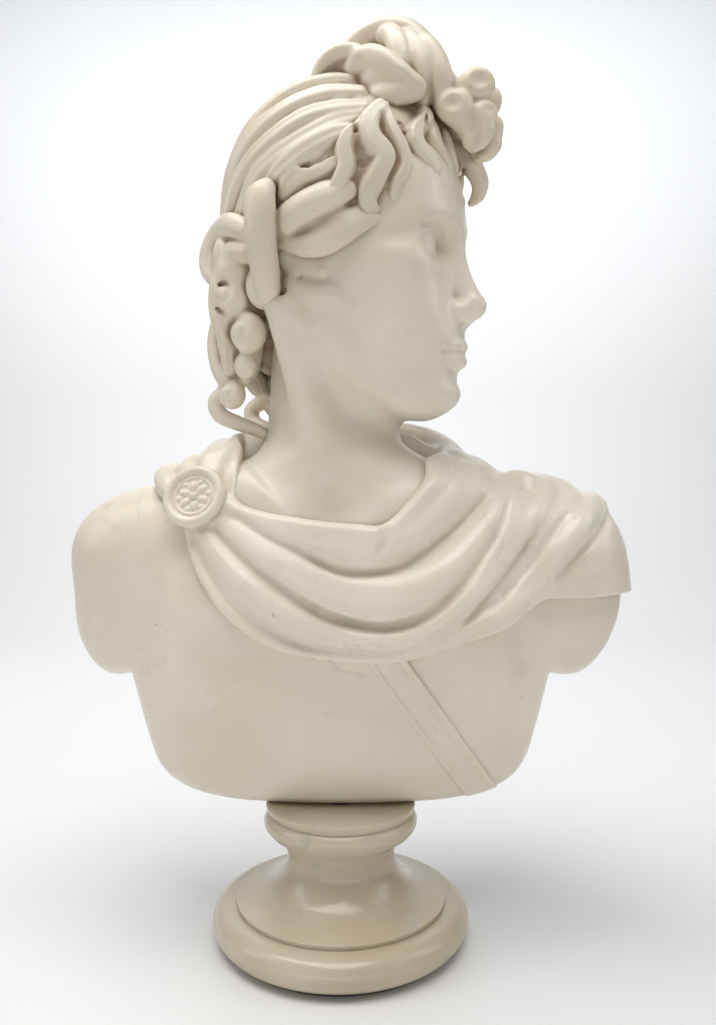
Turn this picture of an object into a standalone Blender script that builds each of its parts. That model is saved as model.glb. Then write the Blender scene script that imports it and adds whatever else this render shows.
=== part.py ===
"""Marble bust of a draped classical youth on a turned marble socle.

Metres, +Z up. The origin is the centre of the socle's underside, and the bust's chest faces -Y.
The bust is one carved block. It stands on the socle on a central rod, which is leaded into the
bust's socket and clamped under the socle by a nut, so the bust can be turned on its socle.
"""
from math import cos, pi, radians, sin

import bmesh
import bpy
from mathutils import Matrix, Vector

# ---------------------------------------------------------------- driving dimensions
GAP = 0.0003                    # air between neighbouring pieces

SOCLE_TOP = 0.0686              # height of the socle's top face
FOOT_RADIUS = 0.0665            # widest ring of the socle
FELT_THICKNESS = 0.0015
FELT_RADIUS = 0.0590
SOCLE_BOTTOM = FELT_THICKNESS + GAP

RECESS_RADIUS = 0.0130          # pocket for the nut, under the socle
RECESS_DEPTH = 0.0160
BORE_RADIUS = 0.0038            # the rod's way through the socle
ROD_RADIUS = 0.0030
ROD_BOTTOM = 0.0060
ROD_TOP = 0.1080
SOCKET_RADIUS = 0.0050          # pocket in the bust that the rod is leaded into
SOCKET_TOP = 0.1120

BEARING_RADIUS = 0.0080         # washer let into the socle's top face
BEARING_THICKNESS = 0.0020
BUST_BOTTOM = SOCLE_TOP + GAP

WASHER_RADIUS = 0.0090
WASHER_THICKNESS = 0.0016
SPRING_WASHER_RADIUS = 0.0059
SPRING_WASHER_THICKNESS = 0.0016
NUT_ACROSS_FLATS = 0.0100
NUT_HEIGHT = 0.0050

HEAD_TURN = radians(68)         # from straight ahead towards +X
HEAD_CENTRE = Vector((0.004, -0.006, 0.352))
HEAD_FORWARD = Vector((sin(HEAD_TURN), -cos(HEAD_TURN), 0))
HEAD_RIGHT = Vector((-cos(HEAD_TURN), -sin(HEAD_TURN), 0))

PILLAR_HALF_WIDTH = 0.030       # support left standing in the hollow of the back
SHELL_BACK = 0.014              # y of the chest shell's back face at the bottom
CARVE_VOXEL = 0.0036            # fineness of the block's carving
BUST_THINNING = 0.10


# ---------------------------------------------------------------- scene and materials
def clear_scene():
    for old in list(bpy.data.objects):
        bpy.data.objects.remove(old)


def new_collection(name):
    collection = bpy.data.collections.new(name)
    bpy.context.scene.collection.children.link(collection)
    return collection


def material(name, colour, roughness, metallic=0.0):
    made = bpy.data.materials.new(name)
    made.use_nodes = True
    shader = made.node_tree.nodes["Principled BSDF"]
    shader.inputs["Base Color"].default_value = (*colour, 1)
    shader.inputs["Roughness"].default_value = roughness
    shader.inputs["Metallic"].default_value = metallic
    return made


def place(name, mesh, collection, finish=None):
    made = bpy.data.objects.new(name, mesh)
    collection.objects.link(made)
    if finish:
        mesh.materials.append(finish)
    return made


def as_cutter(piece):
    piece.hide_render = True
    piece.display_type = "WIRE"
    return piece


# ---------------------------------------------------------------- mesh helpers
def add_blob(bm, centre, radii, turn=Matrix.Identity(3)):
    """An ellipsoid with its own axes turned by a 3x3 rotation."""
    size = Matrix.Diagonal((*radii, 1))
    where = Matrix.Translation(centre) @ turn.to_4x4() @ size
    bmesh.ops.create_uvsphere(bm, u_segments=28, v_segments=18, radius=1, matrix=where)


def head_axes():
    """Columns are the head's forward, left and up directions."""
    return Matrix((HEAD_FORWARD, -HEAD_RIGHT, Vector((0, 0, 1)))).transposed()


def in_head(forward, right, up):
    return HEAD_CENTRE + HEAD_FORWARD * forward + HEAD_RIGHT * right + Vector((0, 0, up))


def add_tube(bm, points, radii, sides=10, rings_between=5):
    """A round tube through the points, whose thickness follows the radii, with domed ends."""
    path = smooth_path(points, radii, rings_between)
    previous = None
    side = None
    for number, (centre, radius) in enumerate(path):
        ahead = path[min(number + 1, len(path) - 1)][0] - path[max(number - 1, 0)][0]
        ahead.normalize()
        side = ahead.orthogonal() if side is None else side - ahead * side.dot(ahead)
        side.normalize()
        other = ahead.cross(side)
        ring = []
        for step in range(sides):
            angle = 2 * pi * step / sides
            ring.append(bm.verts.new(centre + (side * cos(angle) + other * sin(angle)) * radius))
        if previous:
            for step in range(sides):
                after = (step + 1) % sides
                bm.faces.new((previous[step], previous[after], ring[after], ring[step]))
        else:
            bm.faces.new(list(reversed(ring)))
        previous = ring
    bm.faces.new(previous)
    add_blob(bm, path[0][0], (path[0][1],) * 3)
    add_blob(bm, path[-1][0], (path[-1][1],) * 3)


def smooth_path(points, radii, rings_between):
    """Catmull-Rom points and radii through the given ones."""
    points = [Vector(point) for point in points]
    if isinstance(radii, float):
        radii = [radii] * len(points)
    path = []
    last = len(points) - 1
    for number in range(last):
        near = [min(max(number + offset, 0), last) for offset in (-1, 0, 1, 2)]
        for step in range(rings_between):
            t = step / rings_between
            weights = ((-t + 2 * t * t - t ** 3) / 2, (2 - 5 * t * t + 3 * t ** 3) / 2,
                       (t + 4 * t * t - 3 * t ** 3) / 2, (t ** 3 - t * t) / 2)
            centre = sum((points[index] * weight for index, weight in zip(near, weights)), Vector())
            radius = radii[number] * (1 - t) + radii[number + 1] * t
            path.append((centre, radius))
    path.append((points[-1], radii[-1]))
    return path


def turned(name, profile, collection, finish, segments=48):
    """A solid of revolution about Z. The profile runs down its outer side, top to bottom."""
    mesh = bpy.data.meshes.new(name)
    edges = [(index, index + 1) for index in range(len(profile) - 1)]
    mesh.from_pydata([(radius, 0, height) for radius, height in profile], edges, [])
    piece = place(name, mesh, collection, finish)
    screw = piece.modifiers.new("Turn", "SCREW")
    screw.steps = segments
    screw.render_steps = segments
    screw.use_merge_vertices = True
    screw.merge_threshold = 0.00001
    return piece


def arc(centre, radius, start, end, steps):
    """Points of a circular arc in the (radius, height) plane, angles in degrees."""
    points = []
    for step in range(steps + 1):
        angle = radians(start + (end - start) * step / steps)
        points.append((centre[0] + radius * cos(angle), centre[1] + radius * sin(angle)))
    return points


def add_cylinder(name, radius, bottom, top, collection, finish=None, segments=32):
    mesh = bpy.data.meshes.new(name)
    bm = bmesh.new()
    where = Matrix.Translation((0, 0, (bottom + top) / 2))
    bmesh.ops.create_cone(bm, cap_ends=True, segments=segments, radius1=radius, radius2=radius,
                          depth=top - bottom, matrix=where)
    bm.to_mesh(mesh)
    bm.free()
    return place(name, mesh, collection, finish)


def extruded_outline(name, outline, start, end, collection, along="Y"):
    """A prism between two planes across an axis, from an outline of (horizontal, height) points."""
    mesh = bpy.data.meshes.new(name)
    bm = bmesh.new()
    corners = [(start, side, z) if along == "X" else (side, start, z) for side, z in outline]
    face = bm.faces.new([bm.verts.new(corner) for corner in corners])
    pushed = bmesh.ops.extrude_face_region(bm, geom=[face])
    moved = [item for item in pushed["geom"] if isinstance(item, bmesh.types.BMVert)]
    length = end - start
    bmesh.ops.translate(bm, vec=(length, 0, 0) if along == "X" else (0, length, 0), verts=moved)
    bmesh.ops.recalc_face_normals(bm, faces=bm.faces)
    bm.to_mesh(mesh)
    bm.free()
    return as_cutter(place(name, mesh, collection))


def cut(piece, cutter, operation="DIFFERENCE"):
    boolean = piece.modifiers.new("Cut " + cutter.name, "BOOLEAN")
    boolean.operation = operation
    boolean.object = cutter
    boolean.solver = "EXACT"


# ---------------------------------------------------------------- the carved block
def add_torso(bm):
    tilt = Matrix.Rotation(radians(17), 3, "X")
    add_blob(bm, (0, 0.019, 0.130), (0.126, 0.051, 0.130), tilt)
    add_blob(bm, (0, 0.022, 0.205), (0.098, 0.046, 0.044))
    for side in (-1, 1):
        add_blob(bm, (side * 0.046, -0.010, 0.166), (0.056, 0.037, 0.044))
        add_blob(bm, (side * 0.052, 0.014, 0.224), (0.058, 0.032, 0.022),
                 Matrix.Rotation(side * radians(16), 3, "Y"))


def add_arm_stumps(bm):
    for side in (-1, 1):
        add_blob(bm, (side * 0.100, 0.014, 0.200), (0.043, 0.036, 0.033))
        add_blob(bm, (side * 0.107, 0.015, 0.176), (0.036, 0.034, 0.052))


def add_neck(bm):
    add_tube(bm, [(-0.004, 0.014, 0.215), (-0.006, 0.006, 0.255), (-0.004, 0.002, 0.305)],
             [0.041, 0.0355, 0.034], sides=24)


def add_head(bm):
    axes = head_axes()
    add_blob(bm, in_head(-0.004, 0, 0.022), (0.061, 0.050, 0.054), axes)
    add_blob(bm, in_head(0.018, 0, -0.020), (0.040, 0.041, 0.056), axes)
    add_blob(bm, in_head(0.020, 0, -0.050), (0.037, 0.034, 0.034), axes)
    nose = [in_head(0.055, 0, 0.004), in_head(0.062, 0, -0.016), in_head(0.065, 0, -0.030)]
    add_tube(bm, nose, [0.005, 0.006, 0.007])


def add_hair(bm):
    axes = head_axes()
    add_blob(bm, in_head(-0.004, 0, 0.032), (0.061, 0.054, 0.060), axes)
    add_blob(bm, in_head(-0.042, 0, -0.012), (0.026, 0.044, 0.048), axes)
    for side in (-1, 1):
        # the rolled locks from the temple back to the nape
        sweep = [in_head(0.055, side * 0.016, 0.056), in_head(0.040, side * 0.038, 0.040),
                 in_head(0.008, side * 0.050, 0.024), in_head(-0.030, side * 0.048, 0.002)]
        add_tube(bm, sweep, [0.010, 0.014, 0.015, 0.015])
        hanging = [in_head(-0.032, side * 0.046, 0.004), in_head(-0.044, side * 0.042, -0.030),
                   in_head(-0.049, side * 0.035, -0.060), in_head(-0.045, side * 0.028, -0.082)]
        add_tube(bm, hanging, [0.014, 0.014, 0.011, 0.007])


def add_topknot(bm):
    axes = head_axes()
    add_blob(bm, in_head(0.026, 0, 0.090), (0.036, 0.026, 0.029), axes)
    for side in (-1, 1):
        add_blob(bm, in_head(0.010, side * 0.022, 0.085), (0.020, 0.017, 0.021), axes)
        curl = [in_head(0.034, side * 0.014, 0.096), in_head(0.058, side * 0.016, 0.082),
                in_head(0.068, side * 0.012, 0.064)]
        add_tube(bm, curl, [0.014, 0.013, 0.010])


def add_cloak(bm):
    """The cloak from the brooch, under the neck and over the +X shoulder."""
    brooch = Vector((-0.077, -0.030, 0.226))
    add_blob(bm, brooch, (0.016, 0.008, 0.016), Matrix.Rotation(radians(-20), 3, "Z"))
    folds = (
        ((-0.040, -0.033, 0.214), (0.004, -0.040, 0.208), (0.044, -0.030, 0.224), 0.010),
        ((-0.048, -0.040, 0.202), (0.004, -0.050, 0.192), (0.062, -0.036, 0.216), 0.011),
        ((-0.050, -0.044, 0.190), (0.008, -0.056, 0.177), (0.078, -0.034, 0.204), 0.011),
        ((-0.046, -0.048, 0.178), (0.010, -0.057, 0.165), (0.084, -0.034, 0.182), 0.009),
    )
    shoulder = Vector((0.122, 0.006, 0.218))
    for first, middle, last, radius in folds:
        end = Vector(last)
        add_tube(bm, [brooch, first, middle, end, end.lerp(shoulder, 0.75)],
                 [0.007, radius, radius, radius, radius])
    add_blob(bm, (0.112, 0.012, 0.204), (0.046, 0.040, 0.036), Matrix.Rotation(radians(24), 3, "Y"))
    for x in (-0.090, -0.076, -0.062):
        add_tube(bm, [(x, -0.022, 0.234), (x + 0.004, 0.008, 0.246), (x + 0.008, 0.040, 0.236)],
                 [0.006, 0.008, 0.008])


def block_outline():
    """The cut edge of the torso as seen from the front: straight sides, rounded lower corners."""
    torso = [(0.050, BUST_BOTTOM), (0.070, 0.0706), (0.085, 0.0752), (0.0950, 0.0845),
             (0.1000, 0.1000), (0.1045, 0.1190), (0.1075, 0.1372)]
    stump = [(0.1210, 0.1378), (0.1300, 0.1460), (0.1400, 0.1640), (0.1460, 0.1850)]
    side = torso + stump + [(0.170, 0.2150), (0.170, 0.5)]
    return side + [(-x, z) for x, z in reversed(side)]


def back_outline():
    """What is cut away behind the chest, below the shoulder blades, as (y, z) points."""
    return [(0.036, 0.05), (0.036, 0.078), (0.041, 0.105), (0.050, 0.135), (0.062, 0.160),
            (0.074, 0.172), (0.15, 0.172), (0.15, 0.05)]


def hollow_cutter(name, side, collection):
    """One of the two pockets carved from behind and below, beside the support pillar."""
    inner = side * PILLAR_HALF_WIDTH
    mesh = bpy.data.meshes.new(name)
    bm = bmesh.new()
    sections = ((0.055, 0.085, SHELL_BACK), (0.110, 0.088, -0.002), (0.150, 0.086, -0.010),
                (0.186, 0.066, 0.008))
    rings = []
    for height, outer, front in sections:
        corners = ((inner, front), (side * outer, front + 0.008), (side * outer, 0.12), (inner, 0.12))
        rings.append([bm.verts.new((x, y, height)) for x, y in corners])
    for lower, upper in zip(rings, rings[1:]):
        for step in range(4):
            after = (step + 1) % 4
            bm.faces.new((lower[step], lower[after], upper[after], upper[step]))
    bm.faces.new(rings[0])
    bm.faces.new(rings[-1])
    bmesh.ops.recalc_face_normals(bm, faces=bm.faces)
    bm.to_mesh(mesh)
    bm.free()
    return as_cutter(place(name, mesh, collection))


def build_bust(collection, cutters, marble):
    mesh = bpy.data.meshes.new("bust")
    bm = bmesh.new()
    for carve in (add_torso, add_arm_stumps, add_neck, add_head, add_hair, add_topknot, add_cloak):
        carve(bm)
    # the foot of the support pillar, which stands on the socle
    add_blob(bm, (0, 0.030, 0.090), (0.044, 0.040, 0.050))
    bm.to_mesh(mesh)
    bm.free()
    bust = place("bust", mesh, collection, marble)
    remesh = bust.modifiers.new("Carve", "REMESH")
    remesh.mode = "VOXEL"
    remesh.voxel_size = CARVE_VOXEL
    smooth = bust.modifiers.new("Soften", "SMOOTH")
    smooth.factor = 0.5
    smooth.iterations = 2
    thin = bust.modifiers.new("Thin", "DECIMATE")
    thin.ratio = BUST_THINNING
    cut(bust, extruded_outline("edge_of_block", block_outline(), -0.15, 0.15, cutters), "INTERSECT")
    cut(bust, extruded_outline("back_of_block", back_outline(), -0.2, 0.2, cutters, along="X"))
    for side, name in ((-1, "hollow_left"), (1, "hollow_right")):
        cut(bust, hollow_cutter(name, side, cutters))
    socket = as_cutter(add_cylinder("socket", SOCKET_RADIUS, BUST_BOTTOM - 0.01, SOCKET_TOP, cutters))
    cut(bust, socket)
    return bust


# ---------------------------------------------------------------- the socle and its hardware
def socle_profile():
    """Down the outer side, then up the inside of the nut's pocket and the bore."""
    foot_height = 0.0165
    foot = arc((FOOT_RADIUS - 0.0082, SOCLE_BOTTOM + 0.0082), 0.0082, 78, -80, 8)
    scotia = [(0.0540, 0.0206), (0.0512, 0.0208), (0.0440, 0.0228), (0.0372, 0.0262),
              (0.0320, 0.0312), (0.0290, 0.0372), (0.0280, 0.0430)]
    collar = [(0.0374, SOCLE_TOP - 0.0046), (0.0392, 0.0622), (0.0402, 0.0598), (0.0396, 0.0570),
              (0.0374, 0.0540), (0.0330, 0.0505), (0.0286, 0.0486)]
    counterbore = SOCLE_TOP - BEARING_THICKNESS
    outside = [(BEARING_RADIUS + GAP, SOCLE_TOP), (0.0386, SOCLE_TOP), (0.0390, SOCLE_TOP - 0.0006),
               (0.0386, SOCLE_TOP - 0.0030)]
    outside += collar + list(reversed(scotia)) + [(0.0546, 0.0196), (0.0540, foot_height + 0.0012)]
    inside = [(RECESS_RADIUS, SOCLE_BOTTOM), (RECESS_RADIUS, SOCLE_BOTTOM + RECESS_DEPTH),
              (BORE_RADIUS, SOCLE_BOTTOM + RECESS_DEPTH), (BORE_RADIUS, counterbore),
              (BEARING_RADIUS + GAP, counterbore), (BEARING_RADIUS + GAP, SOCLE_TOP)]
    return outside + foot + [(FELT_RADIUS, SOCLE_BOTTOM)] + inside


def ring_profile(inner, outer, bottom, top):
    return [(inner, top), (outer, top), (outer, bottom), (inner, bottom), (inner, top)]


def build_socle(collection, marble):
    return turned("socle", socle_profile(), collection, marble, segments=44)


def build_felt(collection, felt):
    return add_cylinder("felt_pad", FELT_RADIUS, 0, FELT_THICKNESS, collection, felt, segments=48)


def build_bearing_washer(collection, lead):
    top = SOCLE_TOP - GAP / 3
    profile = ring_profile(BORE_RADIUS, BEARING_RADIUS, SOCLE_TOP - BEARING_THICKNESS + GAP, top)
    return turned("bearing_washer", profile, collection, lead, segments=32)


def build_rod(collection, steel):
    return add_cylinder("centre_rod", ROD_RADIUS, ROD_BOTTOM, ROD_TOP, collection, steel, segments=24)


def build_setting_plug(collection, lead):
    """Lead run round the rod in the bust's socket."""
    inner = ROD_RADIUS + GAP
    outer = SOCKET_RADIUS - GAP
    profile = ring_profile(inner, outer, BUST_BOTTOM + 0.002, ROD_TOP - 0.002)
    return turned("setting_plug", profile, collection, lead, segments=28)


def build_washer(collection, steel):
    top = SOCLE_BOTTOM + RECESS_DEPTH - GAP
    profile = ring_profile(ROD_RADIUS + GAP, WASHER_RADIUS, top - WASHER_THICKNESS, top)
    return turned("clamp_washer", profile, collection, steel, segments=32)


def build_spring_washer(collection, cutters, steel):
    top = SOCLE_BOTTOM + RECESS_DEPTH - GAP - WASHER_THICKNESS - GAP
    profile = ring_profile(ROD_RADIUS + GAP, SPRING_WASHER_RADIUS, top - SPRING_WASHER_THICKNESS, top)
    washer = turned("spring_washer", profile, collection, steel, segments=28)
    split = [(-0.0006, top - 0.01), (0.0002, top - 0.01), (0.0014, top + 0.01), (0.0006, top + 0.01)]
    cut(washer, extruded_outline("washer_split", split, 0.002, 0.012, cutters))
    return washer


def build_nut(collection, cutters, steel):
    top = SOCLE_BOTTOM + RECESS_DEPTH - WASHER_THICKNESS - SPRING_WASHER_THICKNESS - 3 * GAP
    corner_radius = NUT_ACROSS_FLATS / 2 / cos(radians(30))
    nut = add_cylinder("clamp_nut", corner_radius, top - NUT_HEIGHT, top, collection, steel, segments=6)
    hole = add_cylinder("nut_thread", ROD_RADIUS + GAP, top - 0.02, top + 0.02, cutters, segments=24)
    cut(nut, as_cutter(hole))
    return nut


def shade_round(piece):
    piece.data.shade_smooth()
    piece.data.set_sharp_from_angle(angle=radians(40))


def main():
    clear_scene()
    parts = new_collection("marble_bust")
    cutters = new_collection("cutters")
    marble = material("carved_marble", (0.80, 0.76, 0.68), 0.42)
    polished = material("polished_marble", (0.76, 0.71, 0.62), 0.20)
    steel = material("plain_steel", (0.45, 0.44, 0.42), 0.38, 1.0)
    lead = material("dull_lead", (0.32, 0.33, 0.35), 0.60, 1.0)
    felt = material("dark_felt", (0.05, 0.06, 0.05), 0.95)
    pieces = [
        build_bust(parts, cutters, marble),
        build_socle(parts, polished),
        build_felt(parts, felt),
        build_bearing_washer(parts, lead),
        build_rod(parts, steel),
        build_setting_plug(parts, lead),
        build_washer(parts, steel),
        build_spring_washer(parts, cutters, steel),
        build_nut(parts, cutters, steel),
    ]
    for piece in pieces:
        shade_round(piece)


main()
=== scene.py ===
"""Looks of the marble bust: a draped classical youth on a turned marble socle.

The carved block is sculpted as implicit clay: distance fields on fine grids, joined and cut
smoothly, then turned into meshes. The head and its hair are sculpted in the head's own frame:
u forward, v towards the head's right, w up, from the head's centre.
"""
import copy
from math import cos, pi, radians, sin

import bmesh
import bpy
import numpy as np
import openvdb
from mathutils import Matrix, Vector


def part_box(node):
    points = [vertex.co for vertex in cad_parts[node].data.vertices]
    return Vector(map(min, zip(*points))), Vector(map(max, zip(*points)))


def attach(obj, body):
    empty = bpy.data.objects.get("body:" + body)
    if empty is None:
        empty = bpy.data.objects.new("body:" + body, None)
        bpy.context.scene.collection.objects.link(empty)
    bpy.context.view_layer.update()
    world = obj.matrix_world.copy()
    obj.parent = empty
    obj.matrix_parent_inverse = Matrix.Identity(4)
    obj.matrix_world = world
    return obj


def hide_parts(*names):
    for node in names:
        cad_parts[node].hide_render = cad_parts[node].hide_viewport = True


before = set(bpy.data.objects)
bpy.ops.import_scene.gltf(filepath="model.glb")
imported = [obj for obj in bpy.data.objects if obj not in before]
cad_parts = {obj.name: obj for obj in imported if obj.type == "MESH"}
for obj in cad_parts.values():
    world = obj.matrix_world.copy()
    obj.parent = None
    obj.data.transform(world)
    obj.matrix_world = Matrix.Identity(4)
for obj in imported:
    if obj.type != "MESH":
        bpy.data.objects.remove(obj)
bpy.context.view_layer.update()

BUST_LOW, BUST_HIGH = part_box("bust")
SOCLE_LOW, SOCLE_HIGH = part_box("socle")
PLATE_TOP = SOCLE_HIGH[2]

MM = 0.001                      # the clay is worked in millimetres, the rest of the scene in metres
FAR = 30                        # the distance given to places that no shape reaches
BUST_BOTTOM = BUST_LOW[2] / MM
HEAD_TURN = radians(68)
HEAD_CENTRE = np.array((4, -6, 352))
HEAD_AXES = np.array(((sin(HEAD_TURN), -cos(HEAD_TURN), 0), (-cos(HEAD_TURN), -sin(HEAD_TURN), 0),
                      (0, 0, 1)))


# ================================================================ implicit clay
def smooth_min(a, b, blend):
    if blend <= 0:
        return np.minimum(a, b)
    near = np.maximum(blend - np.abs(a - b), 0) / blend
    return np.minimum(a, b) - near * near * blend / 4


class Clay:
    """A block of clay on a grid: signed distances in millimetres, negative inside."""

    def __init__(self, low, high, cell):
        self.cell = cell
        self.low = np.array(low, float)
        counts = np.ceil((np.array(high) - self.low) / cell).astype(int) + 1
        self.axes = [(self.low[i] + cell * np.arange(counts[i])).astype(np.float32) for i in range(3)]
        self.field = np.full(counts, FAR, np.float32)

    def copy(self):
        twin = copy.copy(self)
        twin.field = self.field.copy()
        twin.axes = list(self.axes)
        return twin

    def taller(self, top):
        """A copy of the clay with empty room added up to the given height."""
        twin = self.copy()
        more = int(np.ceil((top - self.axes[2][-1]) / self.cell))
        twin.field = np.pad(self.field, ((0, 0), (0, 0), (0, more)), mode="edge")
        heights = self.low[2] + self.cell * np.arange(twin.field.shape[2])
        twin.axes = self.axes[:2] + [heights.astype(np.float32)]
        twin.field[:, :, -more:] = FAR
        return twin

    def window(self, low, high):
        """Slices and coordinate arrays of the cells between two corners."""
        part = []
        for i in range(3):
            first = int(np.clip((low[i] - self.low[i]) / self.cell, 0, len(self.axes[i]) - 1))
            last = int(np.clip((high[i] - self.low[i]) / self.cell + 2, first + 1, len(self.axes[i])))
            part.append(slice(first, last))
        x = self.axes[0][part[0]][:, None, None]
        y = self.axes[1][part[1]][None, :, None]
        z = self.axes[2][part[2]][None, None, :]
        return tuple(part), (x, y, z)

    def join(self, shape, blend=0):
        part, distance = shape.measure(self, blend)
        self.field[part] = smooth_min(self.field[part], distance, blend)

    def carve(self, shape, blend=0):
        part, distance = shape.measure(self, blend)
        self.field[part] = -smooth_min(-self.field[part], distance, blend)

    def keep(self, distance, blend=0):
        """Keeps only what is also inside the given field over the whole grid."""
        self.field = -smooth_min(-self.field, -distance, blend)

    def grid(self):
        return self.axes[0][:, None, None], self.axes[1][None, :, None], self.axes[2][None, None, :]

    def outline(self, points):
        """Signed distance to an outline seen along the second axis, negative inside."""
        across, up = self.axes[0][:, None], self.axes[2][None, :]
        return outline_distance(across, up, points).astype(np.float32)[:, None, :]

    def field_of(self, other):
        """Another clay's distances at this one's cells."""
        places = np.stack(np.broadcast_arrays(*self.grid()), -1).reshape(-1, 3)
        return other.sample(places).reshape(self.field.shape).astype(np.float32)

    def sample(self, points):
        """Distances at points, blended between the eight cells around each."""
        return trilinear(self.field, (np.atleast_2d(points) - self.low) / self.cell)

    def slope(self, point):
        """The unit direction away from the clay at a point, and how steep the field is there."""
        steps = np.eye(3) * 1.5 * self.cell
        values = self.sample(np.concatenate([point + steps, point - steps]))
        away = values[:3] - values[3:]
        size = float(np.linalg.norm(away))
        return (away / size if size > 1e-4 else np.zeros(3)), size / (3 * self.cell)

    def cling(self, point, lift=0):
        """The point moved along the slope onto the clay's surface, then lifted off it."""
        point = np.array(point, float)
        away = np.zeros(3)
        middle = np.array([axis.mean() for axis in self.axes])
        for _ in range(20):
            away, steepness = self.slope(point)
            if steepness < 0.2:
                point = point + 0.10 * (middle - point)
            else:
                point = point - away * float(self.sample(point)[0]) / steepness
        return point + away * lift

    def drape(self, points, lift=0):
        """Clings (x, z) pairs to the front of the clay and (x, y, z) triples to its nearest side."""
        return [self.cling(p if len(p) == 3 else (p[0], self.front(*p), p[1]), lift) for p in points]

    def front(self, x, z):
        """The lowest y of the clay's surface at x and z."""
        i = int(np.clip(round((x - self.low[0]) / self.cell), 0, len(self.axes[0]) - 1))
        k = int(np.clip(round((z - self.low[2]) / self.cell), 0, len(self.axes[2]) - 1))
        column = self.field[i, :, k]
        inside = np.nonzero(column < 0)[0]
        return float(self.axes[1][inside[0] if len(inside) else int(np.argmin(column))])

    def flank(self, u, w, side, lift=0):
        """The outermost point of a head's clay at u and w on one side, lifted off the surface."""
        i = int(np.clip(round((u - self.low[0]) / self.cell), 0, len(self.axes[0]) - 1))
        k = int(np.clip(round((w - self.low[2]) / self.cell), 0, len(self.axes[2]) - 1))
        inside = np.nonzero(self.field[i, :, k] < 0)[0]
        if not len(inside):
            return self.cling((u, side * 20, w), lift)
        point = np.array((u, self.axes[1][inside[-1] if side > 0 else inside[0]], w))
        return point + self.slope(point)[0] * lift

    def mesh(self, name, place=None):
        """A Blender mesh of the surface. place turns the clay's frame to the world's."""
        reach = 3                   # cells on each side of the surface that are meshed from
        grid = openvdb.FloatGrid()
        grid.background = reach
        field = np.pad(self.field / self.cell, 1, constant_values=reach)
        grid.copyFromArray(np.clip(field, -reach, reach).astype(np.float32))
        points, quads = grid.convertToQuads(isovalue=0.0)
        points = self.low + (points.astype(float) - 1) * self.cell
        if place is not None:
            points = place(points)
        made = bpy.data.meshes.new(name)
        made.vertices.add(len(points))
        made.vertices.foreach_set("co", (points * MM).astype(np.float32).ravel())
        made.loops.add(quads.size)
        made.loops.foreach_set("vertex_index", quads[:, ::-1].astype(np.int32).ravel())
        made.polygons.add(len(quads))
        made.polygons.foreach_set("loop_start", np.arange(0, quads.size, 4, dtype=np.int32))
        made.update(calc_edges=True)
        made.shade_smooth()
        return made


class Ball:
    """An ellipsoid, turned by a matrix whose columns are its own axes."""

    def __init__(self, centre, radii, axes=None):
        self.centre = np.array(centre, float)
        self.radii = np.array(radii if np.ndim(radii) else (radii,) * 3, float)
        self.axes = np.eye(3) if axes is None else np.array(axes, float)

    def measure(self, clay, blend):
        reach = np.abs(self.axes) @ self.radii + 2 * blend + 4 * clay.cell
        part, (x, y, z) = clay.window(self.centre - reach, self.centre + reach)
        offsets = (x - np.float32(self.centre[0]), y - np.float32(self.centre[1]),
                   z - np.float32(self.centre[2]))
        scaled = 0
        steep = 0
        for i in range(3):
            along = sum(offsets[j] * np.float32(self.axes[j, i]) for j in range(3))
            scaled = scaled + (along / np.float32(self.radii[i])) ** 2
            steep = steep + (along / np.float32(self.radii[i] ** 2)) ** 2
        scaled = np.sqrt(scaled)
        return part, scaled * (scaled - 1) / np.sqrt(steep + 1e-12)


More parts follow.
